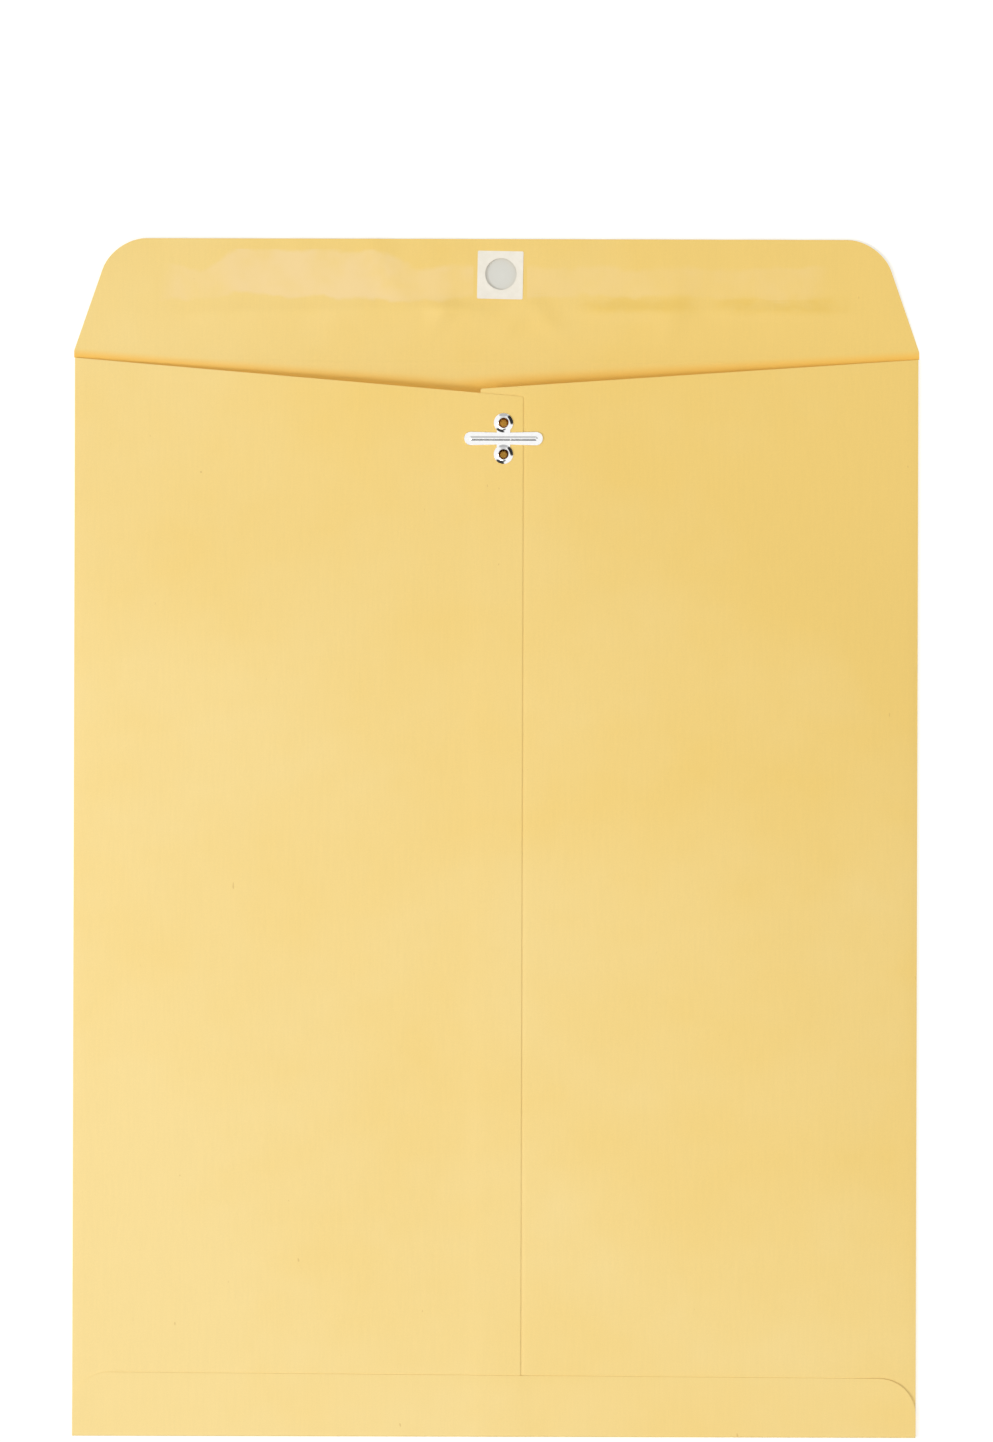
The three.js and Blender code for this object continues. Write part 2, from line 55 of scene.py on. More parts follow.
# Sheet
PAPER = 0.15 * MM
SIDE_FOLD_GAP = 0.6 * MM
MOUTH_FLAT = 24 * MM
MOUTH_RISE = 4.1 * MM
MOUTH_ARCH = 1.15
POUCH_RISE = 5.2 * MM
POUCH_ARCH = 3
POUCH_START = 33 * MM
POUCH_FULL = 95 * MM
BODY_HEIGHT = 324 * MM
FOLD_CLEARANCE = 0.1 * MM
RIPPLE_FROM_SIDE = (1 * MM, 30 * MM)        # where the ripple of the panels starts and is full
RIPPLE_FROM_BOTTOM = (15 * MM, 60 * MM)
RIPPLE_FROM_CLASP = (16 * MM, 45 * MM)

# Back panels, seam and bottom flap
SEAM_OVERLAP = 12.7 * MM
SEAM_OFFSET = 1.55 * MM
SEAM_RAMP = 3.5 * MM
SEAM_LEAD = 0.3 * MM
PANEL_CORNER = 0.5 * MM
LEFT_TOP_DROP = 11.7 * MM
RIGHT_TOP_DROP = 9.35 * MM
BOTTOM_FLAP_LEFT = 19.3 * MM
BOTTOM_FLAP_RIGHT = 17.8 * MM
BOTTOM_FLAP_CORNER = 11 * MM
BOTTOM_FLAP_INSET = 0.3 * MM
BOTTOM_FOLD_RADIUS = 0.6 * MM
CORNER_LIFT = 0.4 * MM                      # the bottom flap's right corner stands off a little
CORNER_LIFT_ACROSS = (104 * MM, 124 * MM)
CORNER_LIFT_UP = (4 * MM, 14 * MM)
SEAM_DENT = 0.13 * MM                       # the panel below is pressed in along the edge above it
SEAM_DENT_WIDTH = 0.8 * MM
SEAM_DENT_BEYOND = 0.15 * MM                # the dent is deepest this far outside that edge
SEAM_DENT_PAST = 0.6 * MM                   # and runs this far past the edge's end
SEAM_DENT_FADE = 1 * MM
FILM = 0.04 * MM
FILM_GAP = 0.005 * MM
GLUE = 0.03 * MM
GLUE_CORNER = 1.5 * MM
SEAM_GLUE_WIDTH = 8 * MM
SEAM_GLUE_END = 5 * MM
SEAM_GLUE_ROOM = 0.07 * MM                  # the film's holes are this much larger than the paper's
BOTTOM_GLUE_WIDTH = 11 * MM
BOTTOM_GLUE_INSET = 3 * MM

# Closing flap, patch and gum
FLAP_SHOULDER = 2.2 * MM
FLAP_SLANT = math.radians(19.3)
FLAP_CORNER = 14 * MM
HOLE_RADIUS = 4.725 * MM
HOLE_FROM_FOLD = 25.4 * MM
HOLE_X = 1.2 * MM
PATCH_WIDTH = 13.7 * MM
PATCH_HEIGHT = 14.4 * MM
PATCH_PAPER = 0.12 * MM
PATCH_FROM_FOLD = 25.1 * MM
PATCH_X = 1 * MM
PATCH_TILT = math.radians(1)
PATCH_CORNER = 0.4 * MM
PATCH_CURL = 0.22 * MM                      # its right and lower edges curl up a little
PATCH_CURL_WIDTH = 2.4 * MM
PATCH_CURL_PAST = 0.4 * MM
GUM_CORNER = 2 * MM
FLAP_LIFT = 0.55 * MM                       # how far the open flap's edge stands off the table
FLAP_LIFT_START = 3 * MM
FLAP_LIFT_FULL = 30 * MM
RIDGES_FROM_FOLD = (2 * MM, 12 * MM)        # where the flap's ridges start and are full
CREASE_AFTER = 2 * MM
SCORE_BELOW = 1.2 * MM                      # a faint score line stands up this far below the fold
SCORE_WIDTH = 0.4 * MM
SCORE_BEAD = 0.07 * MM

# Clasp
STEEL = 0.3 * MM
CLASP_X = 2.1 * MM
CLASP_FROM_FOLD = 24.3 * MM
BAR_LENGTH = 23.5 * MM
BASE_HALF = 2 * MM
PRONG_ROOT_WIDTH = 3.6 * MM
PRONG_TIP_WIDTH = 4.1 * MM
TIP_ROUNDING = 0.98                         # share of the tip's half width that is rounded
STEEL_EDGE = 0.14 * MM
RIB_WIDTH = 1.4 * MM
RIB_HEIGHT = 0.22 * MM
RIB_FROM_TIP = 1.5 * MM
RIB_FADE = 0.6 * MM
NECK_WIDTH = 4.2 * MM
EYELET_SPACING = 9.4 * MM
EYELET_DIAMETER = 5.95 * MM
EYELET_BORE = 2.8 * MM
EYELET_HEIGHT = 0.8 * MM
CLINCH_DIAMETER = 5 * MM
EYELET_WALL = 0.25 * MM
PAPER_HOLE_RADIUS = 1.77 * MM

# Fineness of the meshes, and sizes of the tools that cut them
CELL = 1.8 * MM
FINE_CELL = 1 * MM
METAL_CELL = 0.13 * MM
FOLD_STEPS = 14
CREASE_ROWS = 22
PANEL_ROWS = 20
CORNER_SEGMENTS = 12
HOLE_SIDES = 96
SMALL_HOLE_SIDES = 64
EYELET_SIDES = 72
LINE_STEP = 0.3 * MM                        # close lines that carry the dent along the seam
LINES_BELOW_TOP = 1.5 * MM
LINES_ACROSS_TOP = 12
LINES_LEFT_OF_SEAM = 1.2 * MM
LINES_ALONG_SEAM = 11
STOCK = 2 * MM                              # extra sheet that the die cuts off
METAL_STOCK = 0.5 * MM
DIE = (-10 * MM, 25 * MM)
PAPER_PUNCH = (-5 * MM, 20 * MM)
SAME_PLACE = 1e-7
NEARLY_SAME_PLACE = 1e-6

# Places that follow from the frame
BODY_HALF = (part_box("closure_flap")[1].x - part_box("closure_flap")[0].x) / 2
PANEL_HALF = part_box("front_panel")[1].x
BOTTOM_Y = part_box("bottom_flap")[0].y
PANEL_BOTTOM_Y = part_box("front_panel")[0].y
FOLD_Y = BOTTOM_Y + BODY_HEIGHT
PANEL_TOP_Y = FOLD_Y - FOLD_CLEARANCE / 2
FLAP_EDGE_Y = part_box("closure_flap")[1].y
SEAM_LEFT = SEAM_OFFSET - SEAM_OVERLAP / 2
SEAM_RIGHT = SEAM_OFFSET + SEAM_OVERLAP / 2
CLASP_Y = FOLD_Y - CLASP_FROM_FOLD
HOLE_Y = FOLD_Y + HOLE_FROM_FOLD
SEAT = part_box("clasp_left_prong")[0].z      # level on which the clasp's bar lies
METAL_DIE = (SEAT - 2 * MM, SEAT + 4 * MM)
NECK_PUNCH = (SEAT - 1 * MM, SEAT + 2 * MM)


def clamp(value, low=0.0, high=1.0):
    return max(low, min(high, value))


def smoothstep(value, low, high):
    share = clamp((value - low) / (high - low))
    return share * share * (3 - 2 * share)


def mix(a, b, share):
    return a + (b - a) * share


def side_word(side):
    return "left" if side < 0 else "right"


def eyelet_y(side):
    return CLASP_Y + side * EYELET_SPACING / 2


# Form of the sheet
RIPPLES = (                                 # height, radians per metre across and along, start
    (0.16 * MM, 34, 21, 0.4),
    (0.12 * MM, -27, 38, 2.1),
    (0.07 * MM, 71, 47, 4.0),
)
COCKLES = (
    (0.06 * MM, 190, 60, 0.7),
    (0.05 * MM, -320, 140, 2.2),
    (0.03 * MM, 520, 210, 1.1),
)
GUM_RIDGES = (                              # height, middle x and y, half length, half width, turn
    (0.42 * MM, -52 * MM, 14.4 * MM, 46 * MM, 2.4 * MM, 1.5),
    (0.58 * MM, -12 * MM, 14.2 * MM, 9 * MM, 2.2 * MM, -3),
    (0.7 * MM, 41 * MM, 14.3 * MM, 16 * MM, 2.1 * MM, 0),
    (0.64 * MM, 84 * MM, 14.2 * MM, 20 * MM, 2 * MM, 0),
    (0.56 * MM, -19 * MM, 9 * MM, 10 * MM, 3 * MM, 62),
    (0.54 * MM, 2 * MM, 8 * MM, 11 * MM, 2.8 * MM, 50),
    (0.5 * MM, 16 * MM, 10 * MM, 11 * MM, 3.2 * MM, -52),
    (0.4 * MM, 52 * MM, 9 * MM, 11 * MM, 3.4 * MM, 78),
    (0.34 * MM, -34 * MM, 27 * MM, 12 * MM, 4 * MM, -64),
)


def pocket_height(x, y):
    """Clear height of the pocket: a low tent at the mouth and a fuller pouch below."""
    side = PANEL_HALF - math.copysign(SEAM_OFFSET, x - SEAM_OFFSET) - MOUTH_FLAT / 2
    across = clamp((abs(x - SEAM_OFFSET) - MOUTH_FLAT / 2) / side)
    down = clamp(FOLD_Y - y, 0, BODY_HEIGHT)
    pouch = smoothstep(down, POUCH_START, POUCH_FULL)
    arch = 1 - across ** mix(MOUTH_ARCH, POUCH_ARCH, pouch)
    closing = (1 - (down / BODY_HEIGHT) ** 3) ** 2
    return SIDE_FOLD_GAP + mix(MOUTH_RISE, POUCH_RISE, pouch) * arch * closing + ripple(x, y)


def ripple(x, y):
    """Slight unevenness of handled paper, none at the folds or under the clasp."""
    inward = smoothstep(PANEL_HALF - abs(x), *RIPPLE_FROM_SIDE)
    upward = smoothstep(y - PANEL_BOTTOM_Y, *RIPPLE_FROM_BOTTOM)
    clasp = smoothstep(math.hypot(x - CLASP_X, y - CLASP_Y), *RIPPLE_FROM_CLASP)
    waves = sum(size * math.sin(a * x + b * y + start) for size, a, b, start in RIPPLES)
    return waves * inward * upward * clasp


def seam_climb(x):
    """How far the left panel climbs to lie over the right one."""
    return (PAPER + FILM) * clamp((x - SEAM_LEFT + SEAM_RAMP) / (SEAM_RAMP - SEAM_LEAD))


def back_top(x, y):
    """Top of the two back panels together, as a sheet laid over them follows it."""
    fall = clamp(1 - (x - SEAM_RIGHT) / SEAM_RAMP)
    return 2 * PAPER + pocket_height(x, y) + seam_climb(x) * fall


def left_top_edge(x):
    """Where the slanting top edge of the left panel is."""
    return PANEL_TOP_Y - LEFT_TOP_DROP * (x + BODY_HALF) / (SEAM_RIGHT + BODY_HALF)


def seam_dent(x, y):
    """Dent in the right panel along the two free edges of the left one."""
    side = math.exp(-((x - SEAM_RIGHT - SEAM_DENT_BEYOND) / SEAM_DENT_WIDTH) ** 2)
    side *= smoothstep(left_top_edge(SEAM_RIGHT) + SEAM_DENT_PAST - y, 0, SEAM_DENT_FADE)
    top = math.exp(-((y - left_top_edge(x) - SEAM_DENT_BEYOND) / SEAM_DENT_WIDTH) ** 2)
    top *= smoothstep(SEAM_RIGHT + SEAM_DENT_PAST - x, 0, SEAM_DENT_FADE)
    return SEAM_DENT * max(side, top)


def flap_corner_lift(x, y):
    across = smoothstep(x, *CORNER_LIFT_ACROSS)
    low, high = CORNER_LIFT_UP
    return CORNER_LIFT * across * smoothstep(y, BOTTOM_Y + low, BOTTOM_Y + high)


def flap_ridge(x, up, ridge):
    """Height of one ridge that the drying gum has drawn into the flap."""
    size, middle, height, half_length, half_width, turn = ridge
    c, s = math.cos(math.radians(turn)), math.sin(math.radians(turn))
    along = ((x - middle) * c + (up - height) * s) / half_length
    over = (-(x - middle) * s + (up - height) * c) / half_width
    return size * math.exp(-(along ** 4) - over ** 2)


def flap_height(x, y):
    """Underside of the open flap: it leaves the table a little way from the crease."""
    up = y - FOLD_Y
    lift = FLAP_LIFT * smoothstep(up, FLAP_LIFT_START, FLAP_LIFT_FULL)
    loose = smoothstep(up, *RIDGES_FROM_FOLD)
    ridges = sum(flap_ridge(x, up, ridge) for ridge in GUM_RIDGES)
    cockles = sum(size * (1 + math.sin(a * x + b * y + start)) for size, a, b, start in COCKLES)
    score = SCORE_BEAD * math.exp(-((up + SCORE_BELOW) / SCORE_WIDTH) ** 2)
    return lift + score + loose * (ridges + cockles)


# Modelling helpers
def select_only(piece):
    bpy.ops.object.select_all(action="DESELECT")
    piece.select_set(True)
    bpy.context.view_layer.objects.active = piece


def edit(piece, action, kind="VERT"):
    """Enters edit mode on the piece with all of it selected or deselected."""
    select_only(piece)
    bpy.ops.object.mode_set(mode="EDIT")
    bpy.ops.mesh.select_mode(type=kind)
    bpy.ops.mesh.select_all(action=action)


def leave_edit():
    bpy.ops.object.mode_set(mode="OBJECT")


def pick_vertices(piece, wanted):
    """Leaves the piece in edit mode with only the wanted vertices selected."""
    edit(piece, "DESELECT")
    leave_edit()
    for vertex in piece.data.vertices:
        vertex.select = wanted(vertex.co)
    bpy.ops.object.mode_set(mode="EDIT")


def face_outwards(piece):
    edit(piece, "SELECT")
    bpy.ops.mesh.normals_make_consistent(inside=False)
    leave_edit()


def place_into_mesh(piece):
    select_only(piece)
    bpy.ops.object.transform_apply(location=True, rotation=True, scale=True)


def apply_modifier(piece, kind, **settings):
    select_only(piece)
    modifier = piece.modifiers.new(kind.title(), kind)
    for name, value in settings.items():
        setattr(modifier, name, value)
    bpy.ops.object.modifier_apply(modifier=modifier.name)


def add_grid(name, left, right, bottom, top, cell):
    bpy.ops.object.select_all(action="DESELECT")
    bpy.ops.mesh.primitive_grid_add(
        x_subdivisions=max(1, round((right - left) / cell)),
        y_subdivisions=max(1, round((top - bottom) / cell)),
        size=1,
        location=((left + right) / 2, (bottom + top) / 2, 0),
    )
    piece = bpy.context.object
    piece.name = name
    piece.scale = (right - left, top - bottom, 1)
    place_into_mesh(piece)
    return piece


def raise_to(piece, height):
    """Moves every vertex to the sheet's height at its place."""
    for vertex in piece.data.vertices:
        vertex.co.z = height(vertex.co.x, vertex.co.y)


def add_lines(piece, place, normal, count):
    """Cuts count more lines across a sheet, at equal steps along normal from place."""
    for step in range(count):
        edit(piece, "SELECT", "FACE")
        at = Vector(place) + Vector(normal) * LINE_STEP * step
        bpy.ops.mesh.bisect(plane_co=at, plane_no=normal)
        leave_edit()


def thicken(piece, thickness):
    """Gives an open sheet its thickness, on its upper side."""
    face_outwards(piece)
    apply_modifier(piece, "SOLIDIFY", thickness=thickness, offset=1)


def die(corners, low, high):
    """Prism through corners (x, y, radius), each rounded where it has a radius."""
    bpy.ops.object.select_all(action="DESELECT")
    bpy.ops.mesh.primitive_circle_add(vertices=len(corners), fill_type="NGON")
    prism = bpy.context.object
    for vertex, (x, y, _) in zip(prism.data.vertices, corners):
        vertex.co = (x, y, low)
    for x, y, radius in corners:
        if radius > 0:
            round_corner(prism, corners, (x, y), radius)
    edit(prism, "SELECT")
    bpy.ops.mesh.extrude_region_move(TRANSFORM_OT_translate={"value": (0, 0, high - low)})
    leave_edit()
    face_outwards(prism)
    return prism


def round_corner(prism, corners, place, radius):
    points = [Vector((x, y)) for x, y, _ in corners]
    corner = Vector(place)
    index = points.index(corner)
    back = (points[index - 1] - corner).normalized()
    on = (points[(index + 1) % len(points)] - corner).normalized()
    reach = radius / math.tan(math.acos(clamp(back.dot(on), -1, 1)) / 2)
    pick_vertices(prism, lambda co: (co.xy - corner).length < NEARLY_SAME_PLACE)
    bpy.ops.mesh.bevel(
        offset=reach, offset_type="OFFSET", segments=CORNER_SEGMENTS, affect="VERTICES"
    )
    leave_edit()


def drill(radius, x, y, low, high, sides=SMALL_HOLE_SIDES):
    bpy.ops.object.select_all(action="DESELECT")
    bpy.ops.mesh.primitive_cylinder_add(
        vertices=sides, radius=radius, depth=high - low, location=(x, y, (low + high) / 2)
    )
    tool = bpy.context.object
    place_into_mesh(tool)
    return tool


def cut(piece, tool, operation):
    apply_modifier(piece, "BOOLEAN", object=tool, operation=operation, solver="MANIFOLD")
    bpy.data.objects.remove(tool)


def smooth_by_angle(piece, degrees):
    select_only(piece)
    bpy.ops.object.shade_smooth_by_angle(angle=math.radians(degrees))


def keep_rest_place(piece):
    """Stores each point's place in the open envelope, which the materials read at every pose."""
    stored = piece.data.attributes.new("rest_place", "FLOAT_VECTOR", "POINT")
    for vertex, place in zip(piece.data.vertices, stored.data):
        place.vector = vertex.co


def finish_piece(piece, node_names, material, body=None, angle=40):
    smooth_by_angle(piece, angle)
    keep_rest_place(piece)
    piece.data.materials.clear()
    piece.data.materials.append(material)
    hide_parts(*node_names)
    if body:
        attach(piece, body)
    return piece


def punch_for_eyelets(piece, radius):
    for side in (-1, 1):
        cut(piece, drill(radius, CLASP_X, eyelet_y(side), *PAPER_PUNCH), "DIFFERENCE")


def box_corners(left, low, right, high, radius):
    return [(left, low, radius), (right, low, radius), (right, high, radius), (left, high, radius)]


# Pieces of paper
def spin_side_fold(piece, side):
    """Rolls the sheet's side edge round the side fold, down to the front panel."""
    pick_vertices(piece, lambda co: side * co.x > PANEL_HALF - NEARLY_SAME_PLACE)
    bpy.ops.mesh.spin(
        steps=FOLD_STEPS,
        angle=side * math.pi,
        center=(side * PANEL_HALF, 0, PAPER + SIDE_FOLD_GAP / 2),
        axis=(0, 1, 0),
    )
    leave_edit()


def add_seam_lines(piece):
    """Gives the right panel fine lines along the left one's two free edges, for its dent there."""
    slant = Vector((LEFT_TOP_DROP, SEAM_RIGHT + BODY_HALF, 0)).normalized()
    corner = Vector((SEAM_RIGHT, left_top_edge(SEAM_RIGHT), 0))
    add_lines(piece, corner - slant * LINES_BELOW_TOP, slant, LINES_ACROSS_TOP)
    add_lines(piece, (SEAM_RIGHT - LINES_LEFT_OF_SEAM, 0, 0), (1, 0, 0), LINES_ALONG_SEAM)


def back_panel(side, inner, corners, offset):
    """One back panel: offset is how far it stands above or below the plain pocket."""
    edges = sorted((side * PANEL_HALF, inner))
    name = f"{side_word(side)}_back_sheet"
    piece = add_grid(name, edges[0], edges[1], PANEL_BOTTOM_Y, FOLD_Y, CELL)
    if side > 0:
        add_seam_lines(piece)
    raise_to(piece, lambda x, y: PAPER + pocket_height(x, y) + offset(x, y))
    spin_side_fold(piece, side)
    thicken(piece, PAPER)
    cut(piece, die(corners, *DIE), "INTERSECT")
    punch_for_eyelets(piece, PAPER_HOLE_RADIUS)
    node = f"{side_word(side)}_back_panel"
    return finish_piece(piece, [node], KRAFT, "envelope")


def left_back_panel():
    corners = [
        (-BODY_HALF - STOCK, PANEL_BOTTOM_Y, 0),
        (SEAM_RIGHT, PANEL_BOTTOM_Y, 0),
        (SEAM_RIGHT, PANEL_TOP_Y - LEFT_TOP_DROP, PANEL_CORNER),
        (-BODY_HALF, PANEL_TOP_Y, 0),
        (-BODY_HALF - STOCK, PANEL_TOP_Y, 0),
    ]
    return back_panel(-1, SEAM_RIGHT + STOCK, corners, lambda x, y: seam_climb(x))


def right_back_panel():
    corners = [
        (SEAM_LEFT, PANEL_BOTTOM_Y, 0),
        (BODY_HALF + STOCK, PANEL_BOTTOM_Y, 0),
        (BODY_HALF + STOCK, PANEL_TOP_Y, 0),
        (BODY_HALF, PANEL_TOP_Y, 0),
        (SEAM_LEFT, PANEL_TOP_Y - RIGHT_TOP_DROP, PANEL_CORNER),
    ]
    return back_panel(1, SEAM_LEFT - STOCK, corners, lambda x, y: -seam_dent(x, y))


def bottom_flap():
    """Bottom flap with its rolled fold, as high at each place as the panels that it laps."""
    deepest = max(BOTTOM_FLAP_LEFT, BOTTOM_FLAP_RIGHT)
    top = BOTTOM_Y + deepest + STOCK
    piece = add_grid("bottom_flap_sheet", -BODY_HALF, BODY_HALF, PANEL_BOTTOM_Y, top, CELL)
    raise_to(piece, lambda x, y: back_top(x, y) + FILM + flap_corner_lift(x, y))
    for step in range(FOLD_STEPS):
        roll_bottom_edge(piece, math.pi * step / FOLD_STEPS, math.pi * (step + 1) / FOLD_STEPS)
    thicken(piece, PAPER)
    end = BODY_HALF - BOTTOM_FLAP_INSET
    corners = [
        (-end, BOTTOM_Y - STOCK, 0),
        (end, BOTTOM_Y - STOCK, 0),
        (end, BOTTOM_Y + BOTTOM_FLAP_RIGHT, BOTTOM_FLAP_CORNER),
        (-end, BOTTOM_Y + BOTTOM_FLAP_LEFT, BOTTOM_FLAP_CORNER),
    ]
    cut(piece, die(corners, *DIE), "INTERSECT")
    return finish_piece(piece, ["bottom_flap"], KRAFT, "envelope")


def roll_bottom_edge(piece, before, after):
    """Extrudes the sheet's lower edge from one turn of the bottom fold to the next."""
    radius = BOTTOM_FOLD_RADIUS - PAPER

    def place(x, turn):
        height = back_top(x, PANEL_BOTTOM_Y) + FILM + PAPER
        y = PANEL_BOTTOM_Y - radius * math.sin(turn)
        return y, height / 2 + (height / 2 - PAPER) * math.cos(turn)

    def on_edge(co):
        y, z = place(co.x, before)
        return abs(co.y - y) < SAME_PLACE and abs(co.z - z) < NEARLY_SAME_PLACE

    pick_vertices(piece, on_edge)
    bpy.ops.mesh.extrude_region_move(TRANSFORM_OT_translate={"value": (0, 0, 0)})
    leave_edit()
    for vertex in piece.data.vertices:
        if vertex.select:
            vertex.co.y, vertex.co.z = place(vertex.co.x, after)


def film(name, corners, height, thickness=GLUE):
    """Thin film or patch that follows the sheet below it."""
    across = [x for x, _, _ in corners]
    along = [y for _, y, _ in corners]
    left, right = min(across) - STOCK, max(across) + STOCK
    bottom, top = min(along) - STOCK, max(along) + STOCK
    piece = add_grid(name, left, right, bottom, top, FINE_CELL)
    raise_to(piece, height)
    thicken(piece, thickness)
    cut(piece, die(corners, *DIE), "INTERSECT")
    return piece


def over_flap(x, y):
    return flap_height(x, y) + PAPER + FILM_GAP


def centre_seam_glue():
    half = SEAM_GLUE_WIDTH / 2
    low = PANEL_BOTTOM_Y + SEAM_GLUE_END
    high = PANEL_TOP_Y - LEFT_TOP_DROP - SEAM_GLUE_END
    corners = box_corners(SEAM_OFFSET - half, low, SEAM_OFFSET + half, high, GLUE_CORNER)
    piece = film(
        "seam_glue_film", corners, lambda x, y: 2 * PAPER + pocket_height(x, y) + FILM_GAP
    )
    punch_for_eyelets(piece, PAPER_HOLE_RADIUS + SEAM_GLUE_ROOM)
    return finish_piece(piece, ["centre_seam_glue"], GLUE_FILM, "envelope")


def bottom_flap_glue():
    end = BODY_HALF - 2 * BOTTOM_GLUE_INSET
    low = BOTTOM_Y + BOTTOM_GLUE_INSET
    high = low + BOTTOM_GLUE_WIDTH
    corners = box_corners(-end, low, end, high, GLUE_CORNER)
    piece = film("bottom_glue_film", corners, lambda x, y: back_top(x, y) + FILM_GAP)
    return finish_piece(piece, ["bottom_flap_glue"], GLUE_FILM, "envelope")


def front_sheet():
    """Front panel and closing flap as the one sheet that they are, with the crease between them."""
    start = FOLD_Y + CREASE_AFTER
    piece = add_grid("front_sheet", -BODY_HALF, BODY_HALF, start, FLAP_EDGE_Y + STOCK, FINE_CELL)
    row = (CREASE_AFTER + 2 * SCORE_BELOW) / CREASE_ROWS
    panel_row = (FOLD_Y - 2 * SCORE_BELOW - PANEL_BOTTOM_Y) / PANEL_ROWS
    level = start
    for step in [row] * CREASE_ROWS + [panel_row] * PANEL_ROWS:
        pick_vertices(piece, lambda co: co.y < level + SAME_PLACE)
        bpy.ops.mesh.extrude_region_move(TRANSFORM_OT_translate={"value": (0, -step, 0)})
        leave_edit()
        level -= step
    raise_to(piece, flap_height)
    thicken(piece, PAPER)
    lean = (FLAP_EDGE_Y - FOLD_Y - FLAP_SHOULDER) * math.tan(FLAP_SLANT)
    corners = [
        (-PANEL_HALF, PANEL_BOTTOM_Y, 0),
        (PANEL_HALF, PANEL_BOTTOM_Y, 0),
        (PANEL_HALF, PANEL_TOP_Y, 0),
        (BODY_HALF, PANEL_TOP_Y + FOLD_CLEARANCE, 0),
        (BODY_HALF, FOLD_Y + FLAP_SHOULDER, FLAP_SHOULDER),
        (BODY_HALF - lean, FLAP_EDGE_Y, FLAP_CORNER),
        (-BODY_HALF + lean, FLAP_EDGE_Y, FLAP_CORNER),
        (-BODY_HALF, FOLD_Y + FLAP_SHOULDER, FLAP_SHOULDER),
        (-BODY_HALF, PANEL_TOP_Y + FOLD_CLEARANCE, 0),
        (-PANEL_HALF, PANEL_TOP_Y, 0),
    ]
    cut(piece, die(corners, *DIE), "INTERSECT")
    cut(piece, drill(HOLE_RADIUS, HOLE_X, HOLE_Y, *DIE, HOLE_SIDES), "DIFFERENCE")
    finish_piece(piece, ["front_panel", "closure_flap"], KRAFT_MOUTH_SHADE)
    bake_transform(piece)
    return piece


def reinforcement_patch():
    middle = Vector((PATCH_X, FOLD_Y + PATCH_FROM_FOLD))
    c, s = math.cos(-PATCH_TILT), math.sin(-PATCH_TILT)
    corners = []
    for across, up in ((-1, -1), (1, -1), (1, 1), (-1, 1)):
        x, y = across * PATCH_WIDTH / 2, up * PATCH_HEIGHT / 2
        corners.append((middle.x + x * c - y * s, middle.y + x * s + y * c, PATCH_CORNER))

    def curl(past_edge):
        return smoothstep(past_edge, -PATCH_CURL_WIDTH, PATCH_CURL_PAST)

    def height(x, y):
        right = curl(x - middle.x - PATCH_WIDTH / 2)
        lower = curl(middle.y - y - PATCH_HEIGHT / 2)
        return over_flap(x, y) + PATCH_CURL * max(right, lower)

    piece = film("hole_patch", corners, height, PATCH_PAPER)
    cut(piece, drill(HOLE_RADIUS, HOLE_X, HOLE_Y, *DIE, HOLE_SIDES), "DIFFERENCE")
    return finish_piece(piece, ["reinforcement_patch"], PATCH_WHITE, "flap")


def gum_strip(side):
    node = f"flap_gum_{side_word(side)}"
    low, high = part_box(node)
    corners = box_corners(low.x, low.y, high.x, high.y, GUM_CORNER)
    piece = film(f"gum_film_{side_word(side)}", corners, over_flap)
    return finish_piece(piece, [node], GUM_FILM, "flap")


# Clasp
def rib(x, y, end):
    """Height of the rib above the flat steel. It fades out at end, counted from the clasp's middle."""
    across = clamp(2 * abs(y - CLASP_Y) / RIB_WIDTH)
    along = smoothstep(end - abs(x - CLASP_X), 0, RIB_FADE)
    return RIB_HEIGHT * (1 + math.cos(math.pi * across)) / 2 * along


def soften_edges(piece):
    apply_modifier(
        piece, "BEVEL", width=STEEL_EDGE, segments=3, limit_method="ANGLE",
        angle_limit=math.radians(60), use_clamp_overlap=True,
    )


def prong(side):
    """Ribbed tongue from the clasp's bar to its round tip."""
    root = CLASP_X + side * BASE_HALF
    tip = CLASP_X + side * BAR_LENGTH / 2
    left, right = sorted((root, tip + side * METAL_STOCK))
    width = PRONG_TIP_WIDTH / 2 + METAL_STOCK
    name = f"clasp_prong_{side_word(side)}"
    piece = add_grid(name, left, right, CLASP_Y - width, CLASP_Y + width, METAL_CELL)
    rib_end = BAR_LENGTH / 2 - RIB_FROM_TIP
    raise_to(piece, lambda x, y: SEAT + rib(x, y, rib_end))
    thicken(piece, STEEL)
    half_tip = PRONG_TIP_WIDTH / 2
    half_root = PRONG_ROOT_WIDTH / 2
    corners = [
        (root, CLASP_Y - half_root, 0),
        (tip, CLASP_Y - half_tip, half_tip * TIP_ROUNDING),
        (tip, CLASP_Y + half_tip, half_tip * TIP_ROUNDING),
        (root, CLASP_Y + half_root, 0),
    ]
    cut(piece, die(corners, *METAL_DIE), "INTERSECT")
    soften_edges(piece)
    node = f"clasp_{side_word(side)}_prong"
    finish_piece(piece, [node], TIN_PLATE, angle=50)
    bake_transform(piece)
    return piece


